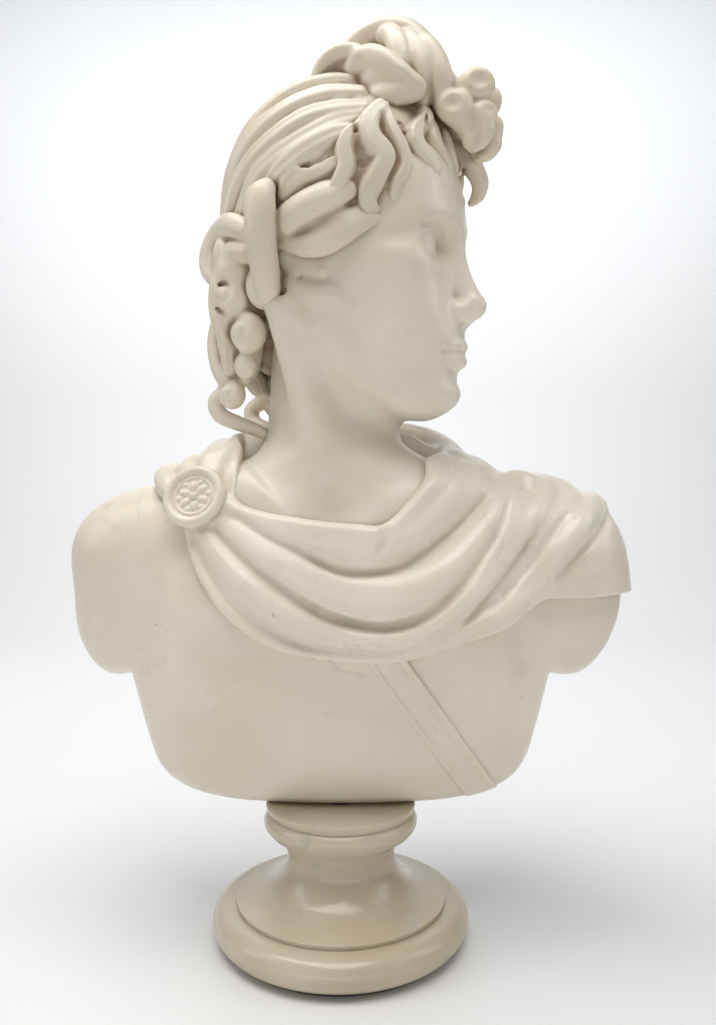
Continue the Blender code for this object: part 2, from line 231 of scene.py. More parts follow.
class Lock:
    """A tapering band along a smooth path: a round tube, or a flat lock of hair with strands.

    widths and thicks are half sizes at the path's points. The band lies flat against `out`,
    a function that gives the outward direction at a point, or a fixed direction.
    """

    def __init__(self, points, widths, thicks=None, out=(0, 0, 1), strands=0, depth=0, step=3):
        self.points, share = smooth_path(points, step)
        self.widths = spread(widths, share)
        self.thicks = self.widths if thicks is None else spread(thicks, share)
        self.out = out if callable(out) else lambda point: out
        self.strands, self.depth = strands, depth

    def measure(self, clay, blend):
        size = np.maximum(self.widths, self.thicks).max() + 2 * blend + 4 * clay.cell
        part, _ = clay.window(self.points.min(0) - size, self.points.max(0) + size)
        shape = tuple(piece.stop - piece.start for piece in part)
        distance = np.full(shape, 2 * FAR, np.float32)
        for number in range(len(self.points) - 1):
            a, b = self.points[number], self.points[number + 1]
            margin = max(self.widths[number:number + 2].max(), self.thicks[number:number + 2].max())
            margin += 1.6 * blend + 3 * clay.cell
            small, (x, y, z) = clay.window(np.minimum(a, b) - margin, np.maximum(a, b) + margin)
            local = tuple(slice(s.start - p.start, s.stop - p.start) for s, p in zip(small, part))
            target = distance[local]
            if target.size:
                np.minimum(target, self.segment(number, a, b, x, y, z), out=target)
        return part, distance

    def segment(self, number, a, b, x, y, z):
        along = b - a
        reach = float(np.linalg.norm(along)) + 1e-9
        along = along / reach
        out = np.array(self.out((a + b) / 2), float)
        out = out - along * out.dot(along)
        if np.linalg.norm(out) < 1e-3:
            out = np.cross(along, np.roll(along, 1) + (0.3, 0.2, 0.1))
        out /= np.linalg.norm(out)
        side = np.cross(along, out)
        dx, dy, dz = x - np.float32(a[0]), y - np.float32(a[1]), z - np.float32(a[2])
        ahead = dx * np.float32(along[0]) + dy * np.float32(along[1]) + dz * np.float32(along[2])
        t = np.clip(ahead / reach, 0, 1)
        past = ahead - t * reach
        across = dx * np.float32(side[0]) + dy * np.float32(side[1]) + dz * np.float32(side[2])
        above = dx * np.float32(out[0]) + dy * np.float32(out[1]) + dz * np.float32(out[2])
        width = self.widths[number] * (1 - t) + self.widths[number + 1] * t
        thick = self.thicks[number] * (1 - t) + self.thicks[number + 1] * t
        scaled = np.sqrt((across / width) ** 2 + (above / thick) ** 2 + (past / thick) ** 2) + 1e-4
        straight = np.sqrt(across ** 2 + above ** 2 + past ** 2)
        distance = straight - straight / scaled
        if self.strands:
            angle = np.arctan2(across / width, above / thick)
            distance = distance + self.depth * (0.5 + 0.5 * np.cos(self.strands * angle))
        return distance.astype(np.float32)


def smooth_path(points, step):
    """Catmull-Rom points about a step apart, and each one's share along the control points."""
    points = np.array(points, float)
    last = len(points) - 1
    path, share = [], []
    for number in range(last):
        before, start, end, after = (points[min(max(number + k, 0), last)] for k in (-1, 0, 1, 2))
        count = max(int(np.ceil(np.linalg.norm(end - start) / step)), 1)
        for t in np.arange(count) / count:
            path.append(0.5 * (2 * start + (end - before) * t
                               + (2 * before - 5 * start + 4 * end - after) * t * t
                               + (3 * start - before - 3 * end + after) * t ** 3))
            share.append(number + t)
    path.append(points[-1])
    share.append(last)
    return np.array(path), np.array(share) / last


def unit(direction):
    direction = np.array(direction, float)
    return direction / np.linalg.norm(direction)


def facing(out):
    """Two directions square to a direction that faces out, the first of them level."""
    across = unit(np.cross(out, (0, 0, 1)))
    return across, np.cross(out, across)


def spread(sizes, share):
    sizes = np.atleast_1d(np.array(sizes, float))
    return np.interp(share, np.linspace(0, 1, len(sizes)), sizes)


def outline_distance(x, z, points):
    """Signed distance to a closed outline in the XZ plane, negative inside."""
    nearest = np.full(np.broadcast(x, z).shape, 1e9)
    inside = np.zeros(nearest.shape, bool)
    for (ax, az), (bx, bz) in zip(points, points[1:] + points[:1]):
        ex, ez = bx - ax, bz - az
        t = np.clip(((x - ax) * ex + (z - az) * ez) / (ex * ex + ez * ez), 0, 1)
        nearest = np.minimum(nearest, (x - ax - t * ex) ** 2 + (z - az - t * ez) ** 2)
        crosses = ((az > z) != (bz > z)) & (x < (bx - ax) * (z - az) / (bz - az + 1e-12) + ax)
        inside ^= crosses
    return np.where(inside, -1, 1) * np.sqrt(nearest)


def trilinear(values, place):
    """Values at places given in cells, blended between the eight cells around each."""
    base = np.clip(np.floor(place).astype(int), 0, np.array(values.shape) - 2)
    share = np.clip(place - base, 0, 1)
    total = np.zeros(len(place))
    for corner in np.ndindex(2, 2, 2):
        at = base + np.array(corner)
        total += np.prod(np.where(corner, share, 1 - share), axis=1) * values[at[:, 0], at[:, 1], at[:, 2]]
    return total


def box_blur(values, reach):
    """A running mean over 2 reach + 1 cells along each axis."""
    for axis in range(3):
        padded = np.pad(values, [(reach + 1, reach) if i == axis else (0, 0) for i in range(3)],
                        mode="edge")
        total = np.cumsum(padded, axis=axis, dtype=np.float64)
        high = np.take(total, np.arange(2 * reach + 1, total.shape[axis]), axis=axis)
        low = np.take(total, np.arange(0, total.shape[axis] - 2 * reach - 1), axis=axis)
        values = ((high - low) / (2 * reach + 1)).astype(np.float32)
    return values


# ================================================================ the torso
HALF_ROOT = np.float32(0.5 ** 0.5)  # turns the sum of two faces' distances to that of the bevel between
SHOULDER_RISE = 0.78059             # how fast the hollow back's face falls back towards the shoulders


def turned_about_x(angle):
    return np.array(((1, 0, 0), (0, cos(angle), -sin(angle)), (0, sin(angle), cos(angle))))


def turned_about_y(angle):
    return np.array(((cos(angle), 0, sin(angle)), (0, 1, 0), (-sin(angle), 0, cos(angle))))


def block_outline():
    """The torso's cut edge seen from the front: straight sides and rounded lower corners."""
    torso = [(50, BUST_BOTTOM), (62, 69.6), (73, 70.9), (83, 73.5), (91, 77.6), (96.6, 83.8), (99.8, 91.5),
             (102, 102), (105.4, 119), (108.2, 137.2)]
    stump = [(115, 135.5), (125.5, 135.2), (133.5, 139.5), (140.7, 147), (147, 158), (151.2, 168),
             (156, 190)]
    side = [(x, z) for run in (torso, stump) for x, z, _ in smooth_path([(x, z, 0) for x, z in run], 4)[0]]
    side += [(170, 215), (170, 500)]
    return side + [(-x, z) for x, z in reversed(side)]


def sculpt_flesh(clay):
    """The bare body, before the block is cut and hollowed."""
    clay.join(Ball((0, 19, 130), (126, 51, 130), turned_about_x(radians(17))))
    clay.join(Ball((0, 22, 205), (98, 44, 42)), 20)
    for side in (-1, 1):
        clay.join(Ball((side * 46, -8, 168), (55, 36, 42)), 16)
        clay.join(Ball((side * 52, 14, 224), (58, 30, 22), turned_about_y(side * radians(16))), 22)
        clay.join(Ball((side * 101, 13, 200), (43, 35, 32)), 16)
        reach, girth = (109, 43) if side > 0 else (107, 37)
        clay.join(Ball((side * reach, 15, 174), (girth, 33, 54)), 12)
        # the fold where the arm meets the chest
        crease = [(side * 98, -34, 190), (side * 92, -34, 168), (side * 93, -26, 146)]
        clay.carve(Lock(crease, [2, 4.5, 4]), 12)
    clay.join(Lock([(-4, 14, 205), (-6, 8, 245), (-3, 4, 290)], [43, 36.5, 34]), 24)
    # the breastbone's shallow furrow
    clay.carve(Lock([(0, -52, 200), (0, -56, 160), (0, -40, 110)], [3, 4, 2]), 22)


def sculpt_torso():
    clay = Clay((-160, -75, 60), (168, 85, 262), 1.2)
    sculpt_flesh(clay)
    flesh = clay.copy()
    cut_block(clay)
    clay.carve(Lock([(-3, 6, 205), (-3, 6, 300)], [57, 57], step=50))
    return clay, flesh


def cut_block(clay):
    """Cuts the block's edge with a bevel, hollows its back and leaves the support standing."""
    x, y, z = clay.grid()
    edge = clay.outline(block_outline())
    bevel = (clay.field + edge) * HALF_ROOT + 3
    clay.keep(np.maximum(edge, bevel), 1.2)
    back = y - 34 - 0.30 * np.maximum(z - 75, 0) - SHOULDER_RISE * np.maximum(z - 142, 0) ** 1.15
    clay.keep(back.astype(np.float32), 4)
    for side in (-1, 1):
        pocket = Lock([(side * 58, 52, 50), (side * 58, 36, 110), (side * 52, 30, 150),
                       (side * 46, 46, 176)], [27, 29, 27, 12], [30, 34, 34, 16], out=(0, 1, 0))
        clay.carve(pocket, 8)
    clay.keep((BUST_BOTTOM - z + 0 * x).astype(np.float32))


# ================================================================ the cloak
NECKLINE = ((-60, 226), (-50, 220.5), (-36, 216.5), (-20, 214), (-4, 212), (10, 211), (19, 210), (27, 214),
            (36, 222.5), (46, 233))
HEM = ((-160, 400), (-92, 250), (-80, 222), (-73, 210), (-66, 192.5), (-54, 175), (-38, 162), (-20, 154.5),
       (0, 150.5), (18, 150.5), (34, 152.5), (52, 158.5), (74, 165.5), (87, 171), (96, 177.5), (123, 177),
       (170, 179))
OVER = ((104, -10, 240), (107, 14, 241), (100, 38, 230), (92, 56, 205))
SWAGS = (  # path from the brooch over the +X shoulder, half widths, half thicknesses
    (((-54, 222), (-40, 213), (-22, 207.5), (-2, 203.5), (14, 202.5), (30, 206), (46, 217), (58, 230),
      (70, -12, 243), (74, 14, 249), (66, 40, 243)), (4, 6, 7, 8, 8, 8, 8, 7, 7, 8, 3), (3.5, 4.5, 2)),
    (((-62, 218), (-50, 208), (-34, 196.5), (-14, 186.5), (4, 180), (20, 178.5), (36, 181), (52, 190),
      (66, 203), (78, 218), (90, 234)) + OVER, (5, 6.5, 8, 10, 11, 11, 11, 10, 9, 8, 7, 7, 8, 8, 3),
     (5, 6.2, 6.6, 6.2, 4)),
    (((-68, 214), (-58, 199), (-42, 184), (-22, 170), (-2, 162), (16, 160), (34, 162), (50, 170), (66, 184),
      (82, 201), (98, 218), (110, 232), (118, -4, 238), (121, 18, 236), (113, 42, 222), (104, 56, 200)),
     (4, 5.5, 6, 6.5, 6.5, 6.5, 6.5, 6, 6, 5.5, 5.5, 6, 3), (5, 6, 6, 5.6, 3)),
    (((40, 168), (54, 179), (70, 196.5), (86, 214), (100, 231.01)), (2, 4.5, 5, 5, 4), (3, 5.2, 5)),
    (((44, 159.01), (60, 164), (76, 170), (90, 179), (101, 191), (111, 203), (122, 214), (132, 223),
      (138, 2, 226), (139, 22, 222), (130, 44, 206)), (3, 5, 6.5, 7.5, 7.5, 6.8, 6.2, 6, 6, 6),
     (4, 6.6, 6)),
    (((86, 186), (98, 201), (110, 215), (120, 226)), (2, 4, 4.4, 3), (3, 4.4, 3.4)),
    (((-72, 210), (-66, 194.5), (-54, 177), (-38, 164), (-20, 156.5), (0, 153), (18, 153), (34, 155),
      (52, 160.5)), (3, 3.6, 3.8, 3.6), (2.4, 3)),
)
CREASES = (  # sharp valleys between the swags
    (((-50, 218.5), (-34, 209), (-18, 202), (-8, 195.5), (2, 192), (14, 191.5), (28, 194), (44, 203),
      (59.01, 215), (72, 228)), 1.9),
    (((-60, 212.5), (-45, 199), (-26, 185), (-9, 174), (2, 169), (14, 166.5), (28, 167), (44, 174),
      (59.01, 188), (68, 199), (78, 213), (84, 227)), 2.2),
    (((-70, 206), (-63, 192.5), (-50, 176.5), (-34, 164.5), (-16, 157), (3, 154.5), (22, 155), (38, 159.01)),
     1.3),
    (((78, 180), (92, 193), (104, 208), (114, 220)), 1.8),
    (((60, 169), (74, 183.01), (87, 198), (98, 213)), 1.4),
    (((108, 188), (120, 199), (132, 210), (140, 218)), 1.6),
    (((21, 213), (21.5, 207), (19, 201.5)), 1.4),
)
COLLAR = ((-66, -32, 228), (-61, -22, 241), (-54, -4, 253), (-45, 20, 261), (-30, 42, 264), (-4, 55, 266),
          (26, 54, 266), (46, 40, 262), (57, 18, 254), (59, -4, 246))
TUNIC_EDGE = ((-54, 252), (-22, 218))    # the inner garment's edge beside the throat
PLEATS = (
    (((-80, -28, 227), (-89, -16, 236), (-92, 4, 240), (-86, 30, 234), (-70, 54, 212), (-50, 68, 190)),
     (4.5, 6.2, 6.8, 6.6, 5, 2.6)),
    (((-75, -28, 230), (-78, -12, 241), (-78, 8, 246), (-71, 34, 240), (-54, 58, 220), (-32, 70, 200)),
     (4.5, 6, 6.6, 6.6, 5, 2.6)),
    (((-69, -30, 229), (-65, -16, 243), (-62, 4, 250), (-55, 30, 250), (-38, 54, 234), (-14, 68, 214)),
     (5, 7.8, 8.4, 7.8, 6, 3)),
)
BACK_FOLDS = (
    ((-60, 62, 232), (-20, 75, 205), (30, 75, 200), (80, 62, 216)),
    ((-52, 66, 245), (-15, 78, 222), (25, 78, 220), (66, 64, 236)),
)
BROOCH = np.array((-70.2, -34, 227.5))
BROOCH_OUT = unit((-0.22, -0.90, 0.36))
PETAL_COUNT = 6
PETALS = (  # distance out, half length, half width, height, turn
    (5.2, 2.8, 1.9, 3, 0.2),
    (7.5, 1.5, 1.4, 2.2, 0.72),
)


def sculpt_cloak(flesh):
    clay = flesh.taller(290)
    body = clay.copy()
    x, y, z = clay.grid()
    drop = np.interp(x * (1 - 0.15 * np.clip(y / 40, 0, 1)), *np.array(HEM).T).astype(np.float32)
    drop = drop + np.maximum(y - 20, 0) * 0.45
    share = np.clip((x - 85) / 55, 0, 1)
    thick = 3 + 2 * share * share * (3 - 2 * share)
    sheet = body.field - thick.astype(np.float32)
    steep = np.gradient(drop, axis=0) / clay.cell
    clay.field = np.maximum(sheet, ((drop - z) / np.sqrt(1 + steep ** 2)).astype(np.float32))
    # the standing part round the neck, thicker towards its foot
    clay.join(Lock(COLLAR, [4.5, 6, 7.2, 7.8, 8, 8, 7.8, 7, 6], step=4), 4)
    foot = [(px * 1.10, py * 1.02 + 2, pz - 15) for px, py, pz in COLLAR[1:]]
    clay.join(Lock(foot, [8, 12, 14, 15, 15, 14, 12, 9], step=4), 12)
    clay.carve(NeckOpening(), 2.5)
    for points, widths in PLEATS:
        clay.join(Lock(body.drape(points, 3), widths), 2.2)
    for points, widths, thicks in SWAGS:
        path = body.drape(points, 2.2)
        clay.join(Lock(path, widths, thicks, out=lambda p: body.slope(p)[0], step=4), 3.6)
    roll = body.drape(((-56, 222), (-42, 215), (-24, 210), (-4, 207), (10, 206.2), (18, 208)), 2)
    clay.join(Lock(roll, [3, 4.2, 4.6, 4.8, 4.8, 3.6], [3.4], out=(0, -1, 0.4)), 2)
    right = [(59, -4, 246), (54, -18, 238)] + body.drape(NECKLINE[::-1], 1.2)
    clay.join(Lock(right, [6, 5, 4.4, 3.8, 3.6, 3.6, 3.6, 3.6, 3.4]), 3.5)
    for points, size in CREASES:
        path = clay.drape(points, -0.4)
        clay.carve(Lock(path, [0.4 * size, size, size, size, 0.4 * size], step=4), 3)
    for points in BACK_FOLDS:
        path = body.drape(points, 2)
        clay.join(Lock(path, [6, 8, 8, 6], [4.5], out=(0, 1, 0), step=4), 6)
    return clay


class NeckOpening:
    """The room the neck comes out of, open upwards, and in front the room above the neckline."""

    def measure(self, clay, blend):
        part, (x, y, z) = clay.window((-90, -90, 195), (90, 90, 330))
        ring = np.sqrt((x / 1.10) ** 2 + (y - 4) ** 2)
        inside = ring - (45.5 + 0.10 * np.maximum(z - 225, 0))
        slope_cut = (211.5 + 0.95 * np.maximum(y + 40, 0)) - z
        hole = np.maximum(inside, slope_cut * 0.7)
        front = np.maximum(np.interp(x, *np.array(NECKLINE).T) - z, np.maximum(y + 4, np.abs(x + 4) - 46))
        return part, np.minimum(hole, 0.8 * front).astype(np.float32)


def sculpt_brooch():
    """A round brooch in its own frame: rim, inner ring, a rosette and a boss."""
    clay = Clay((-19, -19, -8), (19, 19, 8), 0.4)
    x, y, h = clay.grid()
    away = np.sqrt(x * x + y * y)
    angle = np.arctan2(y, x)
    field = np.maximum(away - 15.4, np.abs(h + 2) - 3.6 + 0 * away)
    field = smooth_min(field, np.sqrt((away - 13.4) ** 2 + (h - 1.4) ** 2) - 2.4, 1.2)
    field = smooth_min(field, np.sqrt((away - 9.6) ** 2 + (h - 1.9) ** 2) - 0.6, 0.8)
    sector = 2 * pi / PETAL_COUNT
    for centre, length, width, height, turn in PETALS:
        folded = (angle - turn) % sector - sector / 2
        a, b = away * np.cos(folded) - centre, away * np.sin(folded)
        scaled = np.sqrt((a / length) ** 2 + (b / width) ** 2 + ((h - 1.4) / (height / 2)) ** 2)
        field = smooth_min(field, (scaled - 1) * width * 0.8, 0.6)
    field = smooth_min(field, np.sqrt(away ** 2 + (h - 2) ** 2) - 1.9, 0.4)
    clay.field = np.clip(field, -FAR, FAR).astype(np.float32)
    return clay


def brooch_place(points):
    across, up = facing(BROOCH_OUT)
    axes = np.array((-across, -up, BROOCH_OUT))
    return BROOCH + points @ axes


STRAP_LEFT = ((12, 150), (69, 66))
STRAP_RIGHT = ((31, 152), (86, 70))


def sculpt_strap(flesh):
    """The flat band across the chest from under the cloak's hem to the cut edge."""
    clay = Clay((-2, -60, 62), (98, 30, 170), 0.6)
    x, y, z = clay.grid()
    body = clay.field_of(flesh)

    def beyond(line, side):
        (ax, az), (bx, bz) = line
        return side * ((x - ax) * (bz - az) - (z - az) * (bx - ax)) / np.hypot(bx - ax, bz - az)

    edge = np.maximum(beyond(STRAP_LEFT, 1), beyond(STRAP_RIGHT, -1))
    rim = 0.5 * np.clip(0.5 + (edge + 2.6) / 1.8, 0, 1)
    groove = 0.5 * np.exp(-(edge + 3.6) ** 2)
    band = body - (1.3 + rim - groove)
    block = clay.outline(block_outline())
    bevel = (body + block) * HALF_ROOT + 1.8
    limits = np.maximum(np.maximum(edge, z - 166), np.maximum(np.maximum(block, bevel), -3 - body))
    clay.field = -smooth_min(-band, -limits, 0.8).astype(np.float32)
    return clay


# ================================================================ the head
def to_world(points):
    return HEAD_CENTRE + points @ HEAD_AXES


def to_head(point):
    return HEAD_AXES @ (np.array(point, float) - HEAD_CENTRE)


def ball_in_head(centre, radii, axes=np.eye(3)):
    """A ball given in the world's frame, for clay in the head's frame."""
    return Ball(to_head(centre), radii, HEAD_AXES @ axes)


def sculpt_head():
    """The face, the skull under the hair and the neck down to the pit of the throat."""
    clay = Clay((-68, -60, -150), (80, 60, 82), 0.7)
    clay.join(Ball((-4, 0, 22), (56, 47.5, 50)))
    clay.join(Ball((16, 0, -10), (43, 42.5, 50)), 16)
    clay.join(Ball((22, 0, -44), (33.5, 30, 33)), 16)
    clay.join(Ball((44.5, 0, -71.5), (15.5, 15, 12)), 12)
    clay.join(Ball((40, 0, 22), (20, 36, 30)), 14)
    for side in (-1, 1):
        jaw = [(-4, side * 32, -36), (10, side * 28.5, -57), (36, side * 12.5, -72.5)]
        clay.join(Lock(jaw, [9, 9.5, 10]), 14)
        clay.join(Ball((34, side * 27.5, -16), (17, 13.5, 11)), 12)
        clay.join(Ball((36, side * 19, -38), (16.5, 14.5, 18)), 14)
    add_neck(clay)
    add_tunic(clay)
    add_brow(clay)
    clay.field = box_blur(clay.field, 3)
    add_nose(clay)
    add_mouth(clay)
    for side in (-1, 1):
        add_eye(clay, side)
        add_temple_hair(clay, side)
    clay.field = box_blur(clay.field, 1)
    return clay


def add_temple_hair(clay, side):
    """Soft locks in low relief before the ear, with a drilled hole at their root."""
    for points, widths in TEMPLE_LOCKS:
        path = [clay.flank(u, w, side, 0.4 - 0.5 * width) for (u, w), width in zip(points, widths)]
        clay.join(Lock(path, widths, step=2), 5)
    for u, w, radius in ((-17.8, -25.2, 2.4), (-8, -19.5, 0.8)):
        mouth = clay.flank(u, w, side, 4)
        inner = clay.flank(u, w, side, -6)
        clay.carve(Lock([mouth, inner], [radius, 0.8 * radius]), 2.2)


TEMPLE_LOCKS = (
    (((-18, -20), (-12, -22), (-3.5, -26.5), (5.5, -29.5), (12.5, -32), (16.5, -37)),
     (5, 6.4, 6.2, 5, 3.6, 1.4)),
    (((-18, -11), (-12, -12), (-4, -15), (3, -18)), (5, 5.2, 4.4, 1.6)),
    (((-24, -29), (-16.8, -33), (-9.6, -38.5), (-5, -44)), (5, 5.2, 4, 1.6)),
)


def add_neck(clay):
    spine = [to_head(point) for point in ((-4, 16, 190), (-5.5, 11, 240), (-4, 6, 280), (-2, 2, 330))]
    clay.join(Lock(spine, [40, 35.2, 34, 33], step=8), 14)
    clay.join(ball_in_head((0, 19, 130), (126, 51, 130), turned_about_x(radians(17))), 20)
    clay.join(ball_in_head((0, 22, 205), (98, 44, 42)), 20)
    for side in (-1, 1):
        behind_ear = np.array((-20, side * 34, -34))
        notch = to_head((-3 - 4 * side, -20, 222))
        middle = (behind_ear + notch) / 2 + np.array((4, side * 4, 0))
        clay.join(Lock([behind_ear, middle, notch], [8.5, 8, 5.5], step=6), 13)
        collar_bone = [to_head(p) for p in ((side * 6, -30, 215), (side * 34, -30, 224),
                                            (side * 60, -14, 234))]
        clay.join(Lock(collar_bone, [4.5, 5, 4.5], step=6), 10)
    clay.carve(Ball(to_head((-2, -42.5, 222.5)), (8.5, 7.5, 8)), 14)
    u, v, w = clay.grid()
    middle = to_head((-3, 6, 240))
    round_neck = np.sqrt((u - middle[0]) ** 2 + (v - middle[1]) ** 2) - 61.5
    clay.keep((round_neck - 0.5 * np.maximum(w + 100, 0)).astype(np.float32))


def add_tunic(clay):
    """The inner garment's thin edge beside the throat, from the collar to the neckline."""
    u, v, w = clay.grid()
    x = HEAD_CENTRE[0] + u * HEAD_AXES[0, 0] + v * HEAD_AXES[1, 0]
    y = HEAD_CENTRE[1] + u * HEAD_AXES[0, 1] + v * HEAD_AXES[1, 1]
    z = HEAD_CENTRE[2] + w
    (ax, az), (bx, bz) = TUNIC_EDGE
    above = ((x - ax) * (az - bz) + (z - az) * (bx - ax)) / np.hypot(bx - ax, bz - az)
    share = np.clip(0.5 - above / 1.6, 0, 1) * np.clip((30 - y) / 10, 0, 1)
    clay.field -= (1.5 * share).astype(np.float32)


def add_brow(clay):
    for side in (-1, 1):
        ridge = [(54.5, side * 5, 4.5), (52.5, side * 16, 9.2), (45, side * 28, 8), (36, side * 36, 1)]
        clay.join(Lock(ridge, [3.8, 4.4, 4.4, 3]), 8)
        clay.carve(Ball((61, side * 20.5, -4), (13, 14.5, 9.2)), 7)


def add_nose(clay):
    bridge = [(54, 0, 10), (56, 0, -3), (60.5, 0, -17), (65.5, 0, -29.5)]
    clay.join(Lock(bridge, [5, 4.6, 5, 5.6]), 6.5)
    clay.join(Ball((66.4, 0, -31.6), (6, 5.8, 5.4)), 4)
    clay.join(Lock([(64.5, 0, -34.5), (59, 0, -38.5)], [2.8, 2.4]), 4)
    for side in (-1, 1):
        clay.join(Ball((58.8, side * 7, -34.5), (6.6, 4, 4.4)), 4.5)
        clay.carve(Ball((61, side * 4.4, -40), (3.2, 1.6, 1.4)), 3)


def add_mouth(clay):
    clay.join(Ball((46.5, 0, -50), (13.5, 18, 15)), 10)
    clay.carve(Lock([(64, 0, -41), (64, 0, -46.5)], [1, 1.8]), 4)
    clay.carve(Ball((65.5, 0, -64.8), (6.8, 11.5, 3.4)), 8)
    for side in (-1, 1):
        upper = [(60, 0, -50.9), (59.6, side * 3.4, -49.6), (57, side * 9, -51.4), (53, side * 14, -53.7)]
        lower = [(58.8, 0, -57.4), (57.8, side * 5.8, -57.1), (53.4, side * 12.8, -54.8)]
        parting = [(63.2, 0, -54.2), (62.2, side * 4.5, -53.8), (59.4, side * 9.8, -54.3),
                   (55.6, side * 14.6, -54.8)]
        clay.join(Lock(upper, [2.9, 3, 2.3, 1]), 2.2)
        clay.join(Lock(lower, [3.7, 3.4, 1.2]), 2.2)
        clay.carve(Lock(parting, [1.2, 1.2, 1.2, 1.3]), 1.4)


def add_eye(clay, side):
    """An eyeball under two lids that part along an almond-shaped opening, without a pupil."""
    centre = np.array((42.5, side * 19.5, -4))
    clay.join(Ball(centre, 10), 1)
    reach = np.array((14, 14, 12))
    part, (u, v, w) = clay.window(centre - reach, centre + reach)
    across = (v - centre[1]) / 10.4
    height = w - centre[2]
    arch = np.maximum(1 - across ** 2, 0) ** 0.8
    upper = height - (4.6 * arch - 0.2)
    lower = -height - (3.4 * arch + 0.4)
    shell = np.sqrt((u - centre[0]) ** 2 + (v - centre[1]) ** 2 + (w - centre[2]) ** 2) - 11.6
    opening = -np.maximum(upper, lower)
    lid = -smooth_min(-shell, -opening, 0.7)
    clay.field[part] = smooth_min(clay.field[part], lid.astype(np.float32), 1)
    crease = [(54, side * 10.5, 1.8), (55, side * 19, 5.4), (49.5, side * 28.5, 2.2)]
    clay.carve(Lock(crease, [0.6, 1.1, 0.8]), 1.8)


# ================================================================ the hair
CAP_OUTLINE = [(58, 46), (54.5, 34), (49, 24), (42, 14), (34, 6), (22, -2), (10, -12), (-6, -18),
               (-14, -34), (-26, -52), (-60, -62), (-100, -20), (-100, 120), (70, 120), (66, 56)]


def hair_base():
    """The smooth head of hair that the locks lie on."""
    clay = Clay((-88, -66, -70), (76, 66, 104), 0.8)
    clay.join(Ball((-3, 0, 29), (59, 52, 57)))
    clay.join(Ball((-38, 0, -6), (25, 37, 40)), 16)
    return clay


def sculpt_cap(base):
    """The combed hair over the crown and the broad strands swept back, ending behind the hairline."""
    clay = base.copy()
    comb_cap(clay, 30, 0.9, (26, 0, 82), (-58, 0, -10))
    for side in (-1, 1):
        comb = Comb(clay, base, side)
        for number, (points, widths) in enumerate(BROAD_STRANDS):
            thicks = [0.50 * width + 0.6 for width in widths]
            comb.lock(points, widths, thicks, lift=0.2 + 0.8 * (number % 2), strands=5, depth=0.6,
                      blend=3.8)
        comb.drill((-11.8, 22.2), 2.7, 6)
        groove = [comb.place(point, 2) for point in ((16, 33), (7, 29), (-1, 27.2))]
        clay.carve(Lock(groove, [0.8, 1.5, 1]), 2.2)
        comb.drill((7, 28.5), 1.6, 5)
    clay.keep(clay.outline(CAP_OUTLINE) + 0 * clay.field, 5)
    return clay


def comb_cap(clay, count, depth, root, nape):
    """Fine grooves over the cap that run from root to nape like combed strands."""
    u, v, w = clay.grid()
    axis = unit(np.array(nape) - np.array(root))
    first = unit(np.cross(axis, (0, 1, 0)))
    second = np.cross(axis, first)
    middle = (np.array(root) + np.array(nape)) / 2 + np.array((6, 0, -16))
    du, dv, dw = u - middle[0], v - middle[1], w - middle[2]
    along = du * axis[0] + dv * axis[1] + dw * axis[2]
    a = du * first[0] + dv * first[1] + dw * first[2]
    b = du * second[0] + dv * second[1] + dw * second[2]
    angle = np.arctan2(b, a) + 0.07 * np.sin(0.08 * along) + 0.02 * np.sin(0.21 * along + 1.3)
    broad = 1 - np.abs(np.sin(count * angle / 2 + 0.8 * np.sin(3 * angle)))
    fine = 0.5 + 0.5 * np.cos(4.1 * count * angle + 2.0 * np.sin(5 * angle))
    clay.field += (depth * (broad ** 2 + 0.22 * fine)).astype(np.float32)


